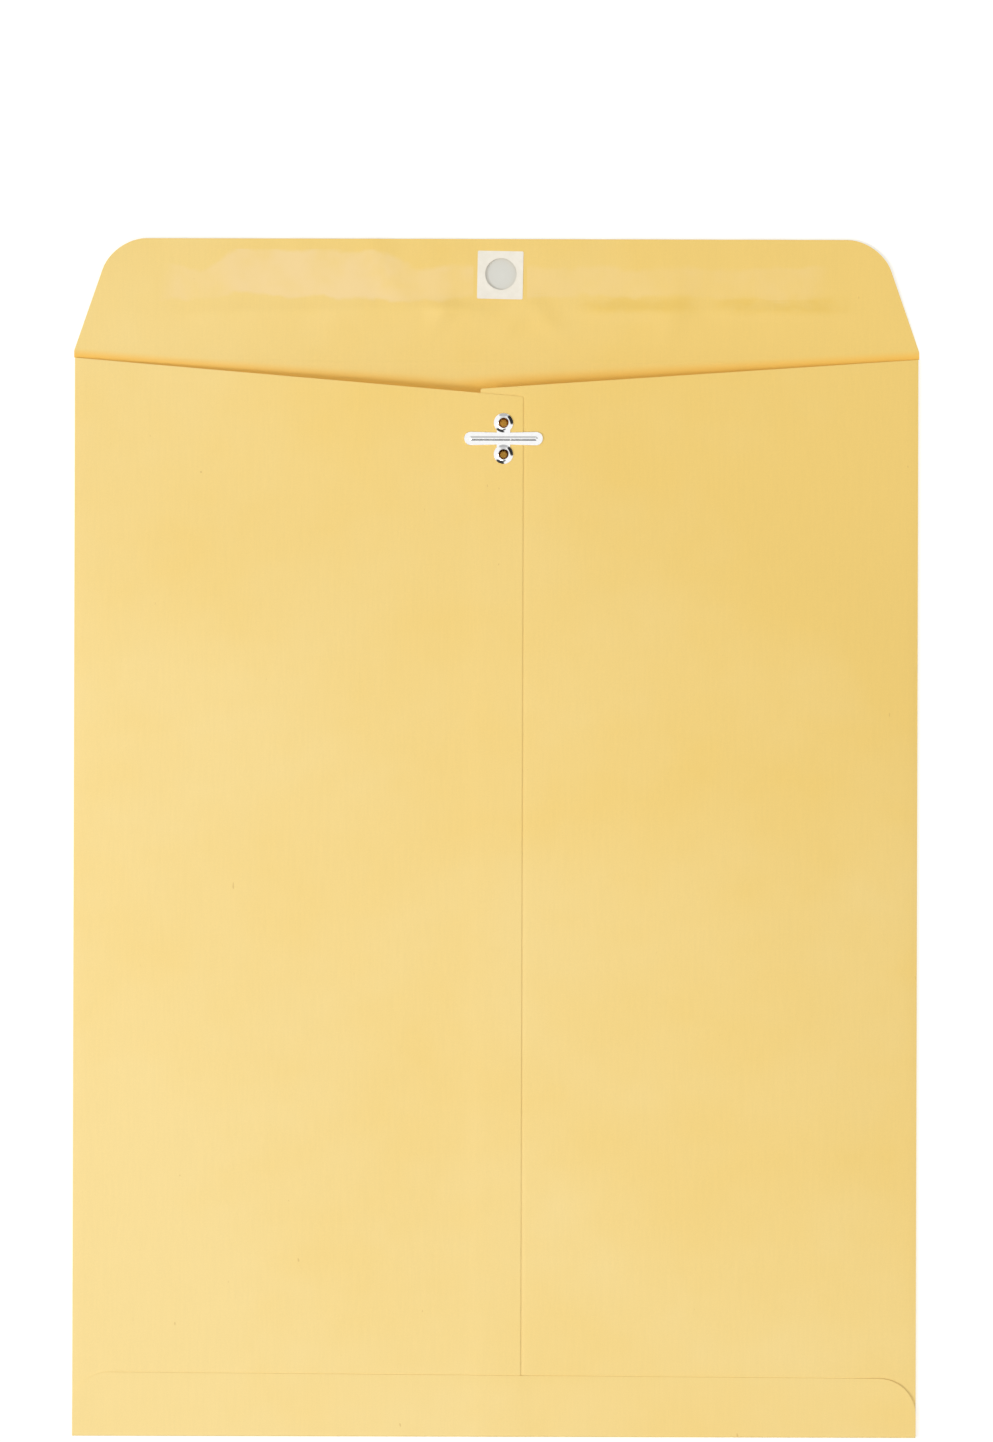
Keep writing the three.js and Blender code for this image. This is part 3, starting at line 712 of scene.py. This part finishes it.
def eyelet_profile():
    """Radius and level of the eyelet's wall, from its foot on the paper to the rim inside."""
    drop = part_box("clasp_base")[0].z + EYELET_WALL / 2 - SEAT
    outer = EYELET_DIAMETER / 2 - EYELET_WALL / 2
    bore = EYELET_BORE / 2 + EYELET_WALL / 2
    low, top = EYELET_WALL / 2, EYELET_HEIGHT - EYELET_WALL / 2
    foot_and_cone = [
        (outer, low),
        (outer - 0.06 * MM, low + 0.1 * MM),
        (outer - 0.85 * MM, top - 0.1 * MM),
    ]
    crown = [
        (outer - 1.02 * MM, top - 0.02 * MM),
        (outer - 1.15 * MM, top),
        (bore + 0.12 * MM, top - 0.06 * MM),
        (bore + 0.02 * MM, top - 0.2 * MM),
    ]
    funnel = [
        (bore - 0.04 * MM, low),
        (bore - 0.32 * MM, drop + 0.3 * MM),
        (bore - 0.24 * MM, drop + 0.1 * MM),
    ]
    clinched_rim = [
        (bore + 0.25 * MM, drop),
        (CLINCH_DIAMETER / 2, drop),
    ]
    return foot_and_cone + crown + funnel + clinched_rim


def eyelet(side):
    """Drawn ring: a cone-sided crown on the paper, a funnel through it and a rim clinched inside."""
    y = eyelet_y(side)
    points = [Vector((CLASP_X + radius, y, SEAT + level)) for radius, level in eyelet_profile()]
    bpy.ops.object.select_all(action="DESELECT")
    bpy.ops.mesh.primitive_circle_add(vertices=3)
    ring = bpy.context.object
    ring.data.vertices[2].co.z = 1
    pick_vertices(ring, lambda co: co.z > 0.5)
    bpy.ops.mesh.delete(type="VERT")
    leave_edit()
    ring.data.vertices[0].co = points[0]
    ring.data.vertices[1].co = points[1]
    for last, point in zip(points[1:], points[2:]):
        pick_vertices(ring, lambda co: (co - last).length < SAME_PLACE)
        bpy.ops.mesh.extrude_vertices_move(TRANSFORM_OT_translate={"value": point - last})
        leave_edit()
    edit(ring, "SELECT")
    bpy.ops.mesh.spin(steps=EYELET_SIDES, angle=2 * math.pi, center=(CLASP_X, y, 0), axis=(0, 0, 1))
    bpy.ops.mesh.select_all(action="SELECT")
    bpy.ops.mesh.remove_doubles(threshold=SAME_PLACE)
    leave_edit()
    face_outwards(ring)
    apply_modifier(ring, "SOLIDIFY", thickness=EYELET_WALL, offset=0, use_even_offset=True)
    face_outwards(ring)
    return ring


def clasp_base():
    """Bar between the bends, necks and the two eyelets, as one stamping."""
    reach = EYELET_SPACING / 2 - EYELET_BORE / 2
    half = NECK_WIDTH / 2 + METAL_STOCK
    low, high = CLASP_Y - reach - STOCK, CLASP_Y + reach + STOCK
    piece = add_grid("clasp_middle", CLASP_X - half, CLASP_X + half, low, high, METAL_CELL)
    raise_to(piece, lambda x, y: SEAT + rib(x, y, BAR_LENGTH))
    thicken(piece, STEEL)
    left, right = CLASP_X - BASE_HALF, CLASP_X + BASE_HALF
    corners = box_corners(left, CLASP_Y - reach, right, CLASP_Y + reach, 0)
    cut(piece, die(corners, *METAL_DIE), "INTERSECT")
    middle = (EYELET_DIAMETER + EYELET_BORE) / 4
    for side in (-1, 1):
        cut(piece, drill(middle, CLASP_X, eyelet_y(side), *NECK_PUNCH), "DIFFERENCE")
        cut(piece, eyelet(side), "UNION")
    return finish_piece(piece, ["clasp_base"], TIN_PLATE, "envelope", angle=45)


# Materials
def srgb(red, green, blue):
    """Linear colour of an sRGB one given from 0 to 255."""
    def linear(value):
        value /= 255
        return value / 12.92 if value <= 0.04045 else ((value + 0.055) / 1.055) ** 2.4

    return (linear(red), linear(green), linear(blue), 1)


WHITE = (1, 1, 1, 1)
NOISE_SPAN = (0.3, 0.7)                     # nearly all of a noise's values lie between these
NOISE_ROUGHNESS = 0.55

# Kraft paper. A noise's scale is its number of cells per metre
KRAFT_PALE = srgb(246, 218, 145)
KRAFT_DEEP = srgb(244, 208, 117)
PAINTED_LIGHT_TOWARDS = (-3.0, -2.1, 0)             # per metre: painted light, paler on the left and at the bottom as if lit more strongly from there
BROAD_CLOUD_SCALE = 17
BROAD_CLOUD_STRETCH = (0.7, 1, 1)
BROAD_CLOUD_STRENGTH = 1.3
CLOUD_SCALE = 80
CLOUD_STRENGTH = 0.3
FIBRE_SCALE = 1500
FIBRE_STRETCH = (1, 0.06, 1)
FIBRE_LIGHT = (0.994, 1.006)
FIBRE_RELIEF = 0.18
TOOTH_SCALE = 2600
TOOTH_LIGHT = (0.988, 1.012)
TOOTH_RELIEF_SCALE = 3200
TOOTH_RELIEF = 0.25
PAPER_RELIEF = 0.04 * MM
FLECK_COLOUR = srgb(196, 146, 74)
FLECK_SCALE = 620
FLECK_STRETCH = (1, 0.45, 1)
FLECK_SPAN = (0.775, 0.8)
FLECK_GROUP_SCALE = 60
FLECK_GROUP_SPAN = (0.6, 0.66)
FLECK_STRENGTH = 0.35
SHEEN_SCALE = 140
KRAFT_ROUGHNESS = (0.5, 0.58)
PAPER_SPECULAR = 0.5

# Painted shade: deeper orange kraft inside the pocket and just past its mouth, standing in for the
# shade under the back panels' edges
KRAFT_MOUTH_SHADE_COLOUR = srgb(251, 194, 78)
MOUTH_SHADE_REACH = 5.2 * MM                     # how far past the mouth the painted shade fades out
MOUTH_SHADE_TAPER = 0.015                        # loss of that reach per metre from the middle
MOUTH_SHADE_FULL = 0.15                          # share of the reach in which it stays full
MOUTH_SHADE_STRENGTH = 0.85

# Gum, and painted shade along the flap's ridges at its lower edge
GUM_COLOUR = srgb(247, 216, 152)
GUM_WOBBLE = 9 * MM
GUM_WOBBLE_SCALE = 60
GUM_LOWER = (1 * MM, 2.5 * MM)              # fades from the film's lower, upper, left and right edges
GUM_UPPER = (4.5 * MM, 6.5 * MM)
GUM_LEFT = 6 * MM
GUM_RIGHT = 12 * MM
GUM_HEAP = 5 * MM                           # the gum reaches this much higher on part of the left
GUM_HEAP_LEFT = (-92 * MM, -74 * MM)
GUM_HEAP_RIGHT = (-20 * MM, -42 * MM)
GUM_THIN_ELSEWHERE = 0.6
GUM_THINNER_RIGHT = (-10 * MM, 20 * MM)
GUM_PATCH_SCALE = 70
GUM_PATCH_SPAN = (0.3, 0.62)
GUM_THINNEST = 0.4
GUM_ROUGHNESS = (0.56, 0.45)                # where it is thin and where it is thick
# Painted shade: deeper, more saturated kraft on the shaded side of the flap's ridges below the right
# gum strip
RIDGE_SHADE_COLOUR = srgb(241, 201, 96)
RIDGE_SHADE_RANGES = ((27 * MM, 59 * MM), (67 * MM, 104 * MM))
RIDGE_SHADE_FROM_FOLD = 16.3 * MM
RIDGE_SHADE_HALF = 4 * MM
RIDGE_SHADE_FADE = 4.5 * MM
RIDGE_SHADE_SCALE = 150
RIDGE_SHADE_STRETCH = (1, 1.6, 1)
RIDGE_SHADE_SPAN = (0.35, 0.62)
RIDGE_SHADE_STRENGTH = (0.12, 0.58)

# Patch, glue and tin plate
PATCH_LIGHT = srgb(247, 241, 227)
PATCH_DARK = srgb(242, 236, 221)
PATCH_CLOUD_SCALE = 420
PATCH_RELIEF_SCALE = 3000
PATCH_RELIEF = 0.3
PATCH_ROUGHNESS = (0.7, 0.8)
GLUE_PALE = srgb(231, 219, 190)
GLUE_DEEP = srgb(222, 205, 166)
GLUE_BLOT_SCALE = 260
GLUE_BLOT_STRETCH = (1, 0.5, 1)
GLUE_BLOT_SPAN = (0.35, 0.65)
GLUE_RELIEF = 0.4
GLUE_RELIEF_DEPTH = 0.03 * MM
GLUE_ROUGHNESS = (0.35, 0.5)
TIN_WARM = srgb(252, 252, 250)
TIN_COOL = srgb(247, 247, 248)
SPANGLE_SCALE = 900
DRAWING_MARK_SCALE = 5200
DRAWING_MARK_STRETCH = (0.08, 1, 1)
DRAWING_MARK_RELIEF = 0.15
DRAWING_MARK_DEPTH = 0.01 * MM
TIN_DENT_SCALE = 450
TIN_DENT_RELIEF = 0.08
TIN_DENT_DEPTH = 0.06 * MM
TIN_ROUGHNESS_SCALE = 1500
TIN_ROUGHNESS = (0.08, 0.13)


class Shader:
    """Node material under construction. node() adds a node, feed() gives a socket a value or a link."""

    def __init__(self, name):
        self.material = bpy.data.materials.new(name)
        self.material.use_nodes = True
        self.tree = self.material.node_tree
        self.surface = self.tree.nodes["Principled BSDF"]
        self.place = self.node("ShaderNodeAttribute", attribute_name="rest_place").outputs["Vector"]

    def node(self, kind, inputs=None, **settings):
        made = self.tree.nodes.new(kind)
        for name, value in settings.items():
            setattr(made, name, value)
        for name, value in (inputs or {}).items():
            self.feed(made.inputs[name], value)
        return made

    def feed(self, socket, value):
        if isinstance(value, bpy.types.NodeSocket):
            self.tree.links.new(value, socket)
        else:
            socket.default_value = value

    def axes(self):
        return self.node("ShaderNodeSeparateXYZ", {"Vector": self.place}).outputs

    def noise(self, scale, stretch=(1, 1, 1), detail=3):
        mapping = self.node("ShaderNodeMapping", {"Vector": self.place, "Scale": stretch})
        settings = {"Scale": scale, "Detail": detail, "Roughness": NOISE_ROUGHNESS}
        return self.node(
            "ShaderNodeTexNoise", {"Vector": mapping.outputs[0], **settings}
        ).outputs["Fac"]

    def waver(self, amount, scale, stretch=(1, 1, 1), detail=3):
        """Noise round zero, up to half of amount either way."""
        return self.times(self.minus(self.noise(scale, stretch, detail), 0.5), amount)

    def ramp(self, value, low, high, start=0.0, end=1.0):
        return self.node(
            "ShaderNodeMapRange",
            {"Value": value, "From Min": low, "From Max": high, "To Min": start, "To Max": end},
            interpolation_type="SMOOTHSTEP",
        ).outputs[0]

    def math(self, operation, a, b=0.0):
        return self.node("ShaderNodeMath", {0: a, 1: b}, operation=operation).outputs[0]

    def plus(self, a, b):
        return self.math("ADD", a, b)

    def minus(self, a, b):
        return self.math("SUBTRACT", a, b)

    def times(self, a, b):
        return self.math("MULTIPLY", a, b)

    def mix(self, share, a, b, blend="MIX"):
        made = self.node("ShaderNodeMix", data_type="RGBA", blend_type=blend)
        self.feed(made.inputs["Factor"], share)
        self.feed(made.inputs["A"], a)
        self.feed(made.inputs["B"], b)
        return made.outputs["Result"]

    def bump(self, height, strength, distance, normal=None):
        inputs = {"Height": height, "Strength": strength, "Distance": distance}
        if normal is not None:
            inputs["Normal"] = normal
        return self.node("ShaderNodeBump", inputs).outputs[0]

    def set(self, **values):
        for name, value in values.items():
            self.feed(self.surface.inputs[name.replace("_", " ")], value)


def kraft_colour(shader):
    """Cloudy kraft colour with long fibres, fine tooth, a few brown flecks and painted light that makes
    it paler towards the lower left, and the fibres alone.
    """
    painted_light = shader.node(
        "ShaderNodeVectorMath", {0: shader.place, 1: PAINTED_LIGHT_TOWARDS}, operation="DOT_PRODUCT"
    ).outputs["Value"]
    broad = shader.waver(BROAD_CLOUD_STRENGTH, BROAD_CLOUD_SCALE, BROAD_CLOUD_STRETCH)
    cloud = shader.waver(CLOUD_STRENGTH, CLOUD_SCALE, detail=4)
    tone = shader.plus(painted_light, shader.plus(broad, cloud))
    share = shader.node("ShaderNodeClamp", {0: shader.plus(tone, 0.5)}).outputs[0]
    colour = shader.mix(share, KRAFT_DEEP, KRAFT_PALE)
    fibres = shader.noise(FIBRE_SCALE, FIBRE_STRETCH)
    light = shader.ramp(fibres, *NOISE_SPAN, *FIBRE_LIGHT)
    colour = shader.mix(1.0, colour, light, "MULTIPLY")
    tooth = shader.ramp(shader.noise(TOOTH_SCALE, detail=2), *NOISE_SPAN, *TOOTH_LIGHT)
    colour = shader.mix(1.0, colour, tooth, "MULTIPLY")
    flecks = shader.ramp(shader.noise(FLECK_SCALE, FLECK_STRETCH, detail=1), *FLECK_SPAN)
    groups = shader.ramp(shader.noise(FLECK_GROUP_SCALE, detail=1), *FLECK_GROUP_SPAN)
    share = shader.times(shader.times(flecks, groups), FLECK_STRENGTH)
    return shader.mix(share, colour, FLECK_COLOUR), fibres


def finish_kraft(shader, colour, fibres, roughness):
    fibre_relief = shader.bump(fibres, FIBRE_RELIEF, PAPER_RELIEF)
    relief = shader.bump(shader.noise(TOOTH_RELIEF_SCALE), TOOTH_RELIEF, PAPER_RELIEF, fibre_relief)
    shader.set(Base_Color=colour, Roughness=roughness, Normal=relief)
    shader.surface.inputs["Specular IOR Level"].default_value = PAPER_SPECULAR
    return shader.material


def kraft_sheen(shader):
    return shader.ramp(shader.noise(SHEEN_SCALE), *NOISE_SPAN, *KRAFT_ROUGHNESS)


def kraft_paper():
    shader = Shader("kraft_paper")
    colour, fibres = kraft_colour(shader)
    return finish_kraft(shader, colour, fibres, kraft_sheen(shader))


def above_line(shader, axes, left, right):
    """Height above the line through two points of the sheet."""
    rise = (right[1] - left[1]) / (right[0] - left[0])
    level = shader.plus(shader.times(axes["X"], rise), left[1] - rise * left[0])
    return shader.minus(axes["Y"], level)


def ridge_shade(shader, axes, colour):
    """Painted shade: deeper, more saturated kraft on the shaded side of the flap's ridges, along the
    lower edge of the right gum strip.
    """
    off = shader.math("ABSOLUTE", shader.minus(axes["Y"], FOLD_Y + RIDGE_SHADE_FROM_FOLD))
    over = shader.ramp(off, RIDGE_SHADE_HALF, RIDGE_SHADE_HALF / 4)
    along = 0.0
    for start, end in RIDGE_SHADE_RANGES:
        begun = shader.ramp(axes["X"], start - RIDGE_SHADE_FADE, start + RIDGE_SHADE_FADE)
        not_ended = shader.ramp(axes["X"], end + RIDGE_SHADE_FADE, end - RIDGE_SHADE_FADE)
        along = shader.plus(along, shader.times(begun, not_ended))
    cloud = shader.noise(RIDGE_SHADE_SCALE, RIDGE_SHADE_STRETCH, detail=4)
    share = shader.ramp(cloud, *RIDGE_SHADE_SPAN, *RIDGE_SHADE_STRENGTH)
    return shader.mix(shader.times(shader.times(over, along), share), colour, RIDGE_SHADE_COLOUR)


def kraft_with_mouth_shade():
    """Kraft with painted shade: a deeper orange inside the pocket that fades out just past the mouth,
    where the back panels' edges shade the sheet.
    """
    shader = Shader("kraft_paper_mouth_shade")
    colour, fibres = kraft_colour(shader)
    axes = shader.axes()
    colour = ridge_shade(shader, axes, colour)
    left_inner = (SEAM_RIGHT, PANEL_TOP_Y - LEFT_TOP_DROP)
    right_inner = (SEAM_LEFT, PANEL_TOP_Y - RIGHT_TOP_DROP)
    left = above_line(shader, axes, (-BODY_HALF, PANEL_TOP_Y), left_inner)
    right = above_line(shader, axes, right_inner, (BODY_HALF, PANEL_TOP_Y))
    above = shader.math("MINIMUM", left, right)
    from_middle = shader.math("ABSOLUTE", axes["X"])
    reach = shader.plus(shader.times(from_middle, -MOUTH_SHADE_TAPER), MOUTH_SHADE_REACH)
    share = shader.ramp(shader.math("DIVIDE", above, reach), MOUTH_SHADE_FULL, 1, 1, 0)
    upper_side = shader.ramp(axes["Z"], PAPER / 3, PAPER * 2 / 3)
    share = shader.times(shader.times(share, upper_side), MOUTH_SHADE_STRENGTH)
    colour = shader.mix(share, colour, KRAFT_MOUTH_SHADE_COLOUR)
    return finish_kraft(shader, colour, fibres, kraft_sheen(shader))


def gum_thickness(shader, axes):
    """Share of the gum's full thickness: it thins out raggedly at its edges and is patchy between."""
    low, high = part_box("flap_gum_left")
    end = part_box("flap_gum_right")[1]
    wobble = shader.waver(GUM_WOBBLE, GUM_WOBBLE_SCALE, detail=4)
    up = shader.plus(axes["Y"], wobble)
    along = shader.plus(axes["X"], wobble)
    lower = shader.ramp(up, low.y + GUM_LOWER[0], low.y + GUM_LOWER[1])
    heap_left = shader.ramp(axes["X"], *GUM_HEAP_LEFT)
    heap_right = shader.ramp(axes["X"], *GUM_HEAP_RIGHT)
    heap = shader.times(heap_left, heap_right)
    level = shader.minus(up, shader.times(heap, GUM_HEAP))
    upper = shader.ramp(level, high.y - GUM_UPPER[0], high.y - GUM_UPPER[1])
    left = shader.ramp(along, low.x, low.x + GUM_LEFT)
    right = shader.ramp(along, end.x, end.x - GUM_RIGHT)
    thick = shader.times(shader.times(lower, upper), shader.times(left, right))
    patches = shader.ramp(shader.noise(GUM_PATCH_SCALE), *GUM_PATCH_SPAN, GUM_THINNEST, 1)
    thick = shader.times(thick, patches)
    thick = shader.times(thick, shader.ramp(heap, 0, 1, GUM_THIN_ELSEWHERE, 1))
    return shader.times(thick, shader.ramp(axes["X"], *GUM_THINNER_RIGHT, 1, GUM_THIN_ELSEWHERE))


def gum_film():
    """Dried gum: the kraft shows through, paler where the film is thick."""
    shader = Shader("flap_gum")
    colour, fibres = kraft_colour(shader)
    axes = shader.axes()
    colour = ridge_shade(shader, axes, colour)
    thick = gum_thickness(shader, axes)
    roughness = shader.ramp(thick, 0, 1, *GUM_ROUGHNESS)
    return finish_kraft(shader, shader.mix(thick, colour, GUM_COLOUR), fibres, roughness)


def patch_white():
    shader = Shader("patch_paper")
    cloud = shader.ramp(shader.noise(PATCH_CLOUD_SCALE, detail=4), *NOISE_SPAN)
    colour = shader.mix(cloud, PATCH_LIGHT, PATCH_DARK)
    relief = shader.bump(shader.noise(PATCH_RELIEF_SCALE), PATCH_RELIEF, PAPER_RELIEF)
    roughness = shader.ramp(cloud, 0, 1, *PATCH_ROUGHNESS)
    shader.set(Base_Color=colour, Roughness=roughness, Normal=relief)
    return shader.material


def glue_film():
    shader = Shader("seam_glue")
    blots = shader.ramp(shader.noise(GLUE_BLOT_SCALE, GLUE_BLOT_STRETCH), *GLUE_BLOT_SPAN)
    colour = shader.mix(blots, GLUE_PALE, GLUE_DEEP)
    relief = shader.bump(blots, GLUE_RELIEF, GLUE_RELIEF_DEPTH)
    roughness = shader.ramp(blots, 0, 1, *GLUE_ROUGHNESS)
    shader.set(Base_Color=colour, Roughness=roughness, Normal=relief)
    return shader.material


def tin_plate():
    """Bright tin plate with drawing marks along the bar and faint spangle."""
    shader = Shader("tin_plate")
    spangle = shader.ramp(shader.noise(SPANGLE_SCALE, detail=2), *NOISE_SPAN)
    colour = shader.mix(spangle, TIN_WARM, TIN_COOL)
    marks = shader.noise(DRAWING_MARK_SCALE, DRAWING_MARK_STRETCH, detail=2)
    roughness = shader.ramp(shader.noise(TIN_ROUGHNESS_SCALE), *NOISE_SPAN, *TIN_ROUGHNESS)
    dents = shader.bump(shader.noise(TIN_DENT_SCALE, detail=2), TIN_DENT_RELIEF, TIN_DENT_DEPTH)
    relief = shader.bump(marks, DRAWING_MARK_RELIEF, DRAWING_MARK_DEPTH, dents)
    shader.set(Base_Color=colour, Metallic=1.0, Roughness=roughness, Normal=relief)
    return shader.material


KRAFT = kraft_paper()
KRAFT_MOUTH_SHADE = kraft_with_mouth_shade()
GUM_FILM = gum_film()
PATCH_WHITE = patch_white()
GLUE_FILM = glue_film()
TIN_PLATE = tin_plate()


# Studio
TABLE_SIZE = 8
TABLE_LEVEL = -0.05 * MM
TABLE_GREY = srgb(222, 221, 212)
TABLE_ROUGHNESS = 0.9
TABLE_GLOW = 0.4
HOLE_SURROUND = (6.5 * MM, 6 * MM)          # round the flap's hole, the table may show its grey
OPEN_TABLE = (0.99, 1.0)                    # how free of things above it the glowing table is
OCCLUSION_REACH = 12 * MM
OCCLUSION_SAMPLES = 128
SKY_LEVEL = 0.4
DARK_GAPS = (                               # direction, cosines at its dark and light ends, level
    ((1, 0.5, 0.4), 0.9, 0.8, 0.03),
    ((-0.45, -1, 0.3), 0.92, 0.84, 0.05),
    ((0, -1, 1.15), 0.98, 0.95, 0.15),
    ((0, 0.5, 1), 0.978, 0.945, 0.62),
    ((0, 1, 0.3), 0.93, 0.85, 0.5),
)
KEY_LAMP = {"place": (-2.1, -0.56, 2.0), "size": 0.55, "power": 21}
SHEEN_LAMP = {"place": (-0.45, -0.65, 1.42), "size": 0.8, "power": 3.9}
TOP_LAMP = {"place": (CLASP_X, CLASP_Y, 2.4), "size": 0.3, "power": 17}
LENS = 120.2
SENSOR_WIDTH = 36
CAMERA_PLACE = (0.24 * MM, 35.15 * MM, 1447.3 * MM)
CAMERA_TURN = math.radians(0.156)
FARTHEST_SEEN = 20


def joined(tree, operation, a, b):
    made = tree.nodes.new("ShaderNodeMath")
    made.operation = operation
    tree.links.new(a, made.inputs[0])
    tree.links.new(b, made.inputs[1])
    return made.outputs[0]


def shown_ray(tree):
    """One on camera, glossy and transmission rays, and zero on the rest."""
    rays = tree.nodes.new("ShaderNodeLightPath").outputs
    shown = rays["Is Camera Ray"]
    for name in ("Is Glossy Ray", "Is Transmission Ray"):
        shown = joined(tree, "MAXIMUM", shown, rays[name])
    return shown


def paint_table(shader, surface, glow):
    paint = {
        "Base Color": TABLE_GREY,
        "Roughness": TABLE_ROUGHNESS,
        "Emission Color": WHITE,
        "Emission Strength": glow,
    }
    for name, value in paint.items():
        shader.feed(surface.inputs[name], value)


def table_paint():
    """Pale grey that glows white for the camera, except under the flap's hole where something
    stands close above it."""
    shader = Shader("table_top")
    shader.place = shader.node("ShaderNodeTexCoord").outputs["Object"]
    shown = shown_ray(shader.tree)
    paint_table(shader, shader.surface, shader.times(shown, TABLE_GLOW))
    occlusion = shader.node(
        "ShaderNodeAmbientOcclusion", {"Distance": OCCLUSION_REACH}, samples=OCCLUSION_SAMPLES
    )
    clear = shader.ramp(occlusion.outputs["AO"], *OPEN_TABLE)
    under_hole = shader.node("ShaderNodeBsdfPrincipled")
    paint_table(shader, under_hole, shader.times(shown, shader.times(clear, TABLE_GLOW)))
    away = shader.node(
        "ShaderNodeVectorMath", {0: shader.place, 1: (HOLE_X, HOLE_Y, 0)}, operation="DISTANCE"
    ).outputs["Value"]
    near = shader.ramp(away, *HOLE_SURROUND)
    both = shader.node(
        "ShaderNodeMixShader", {0: near, 1: shader.surface.outputs[0], 2: under_hole.outputs[0]}
    )
    shader.feed(shader.tree.nodes["Material Output"].inputs["Surface"], both.outputs[0])
    return shader.material


def table_top():
    bpy.ops.object.select_all(action="DESELECT")
    bpy.ops.mesh.primitive_plane_add(size=TABLE_SIZE, location=(0, 0, TABLE_LEVEL))
    floor = bpy.context.object
    floor.name = "table_top"
    floor.data.materials.append(table_paint())


def add_lamp(name, place, size, power, aim=(0, 0, 0), mirrored=True):
    light = bpy.data.lights.new(name, "AREA")
    light.shape = "DISK"
    light.size = size
    light.energy = power
    lamp = bpy.data.objects.new(name, light)
    bpy.context.scene.collection.objects.link(lamp)
    lamp.location = place
    lamp.rotation_euler = (Vector(aim) - Vector(place)).to_track_quat("-Z", "Y").to_euler()
    lamp.visible_glossy = mirrored


def dark_gap(tree, looking, gap, inner, outer, level):
    """Light of the room in one gap's direction: level inside the gap and one outside it."""
    near = tree.nodes.new("ShaderNodeVectorMath")
    near.operation = "DOT_PRODUCT"
    tree.links.new(looking, near.inputs[0])
    near.inputs[1].default_value = Vector(gap).normalized()
    fade = tree.nodes.new("ShaderNodeMapRange")
    fade.interpolation_type = "SMOOTHSTEP"
    tree.links.new(near.outputs["Value"], fade.inputs["Value"])
    fade.inputs["From Min"].default_value = outer
    fade.inputs["From Max"].default_value = inner
    fade.inputs["To Min"].default_value = 1.0
    fade.inputs["To Max"].default_value = level
    return fade.outputs[0]


def between(tree, share, plain, other):
    """Mixes from a plain number to another node's value."""
    made = tree.nodes.new("ShaderNodeMix")
    tree.links.new(share, made.inputs["Factor"])
    made.inputs["A"].default_value = plain
    tree.links.new(other, made.inputs["B"])
    return made.outputs["Result"]


def sky():
    """Soft even light, and a white room with a few dark gaps that only polished metal shows."""
    world = bpy.data.worlds.new("studio")
    bpy.context.scene.world = world
    world.use_nodes = True
    tree = world.node_tree
    background = tree.nodes["Background"]
    looking = tree.nodes.new("ShaderNodeTexCoord").outputs["Generated"]
    room = dark_gap(tree, looking, *DARK_GAPS[0])
    for gap in DARK_GAPS[1:]:
        room = joined(tree, "MULTIPLY", room, dark_gap(tree, looking, *gap))
    rays = tree.nodes.new("ShaderNodeLightPath").outputs
    seen = between(tree, rays["Is Glossy Ray"], 1.0, room)
    strength = between(tree, shown_ray(tree), SKY_LEVEL, seen)
    tree.links.new(strength, background.inputs["Strength"])
    background.inputs["Color"].default_value = WHITE


def camera():
    lens = bpy.data.cameras.new("camera")
    lens.lens = LENS
    lens.sensor_width = SENSOR_WIDTH
    lens.clip_end = FARTHEST_SEEN
    view = bpy.data.objects.new("camera", lens)
    bpy.context.scene.collection.objects.link(view)
    view.location = CAMERA_PLACE
    view.rotation_euler = (0, 0, CAMERA_TURN)
    bpy.context.scene.camera = view


camera()
sky()
add_lamp("key", **KEY_LAMP)
add_lamp("sheen", **SHEEN_LAMP)
add_lamp("top", **TOP_LAMP, aim=(CLASP_X, CLASP_Y, 0), mirrored=False)
table_top()
bpy.context.scene.view_settings.view_transform = "Standard"

front_sheet()
left_back_panel()
right_back_panel()
bottom_flap()
centre_seam_glue()
bottom_flap_glue()
gum_strip(-1)
gum_strip(1)
reinforcement_patch()
clasp_base()
prong(-1)
prong(1)
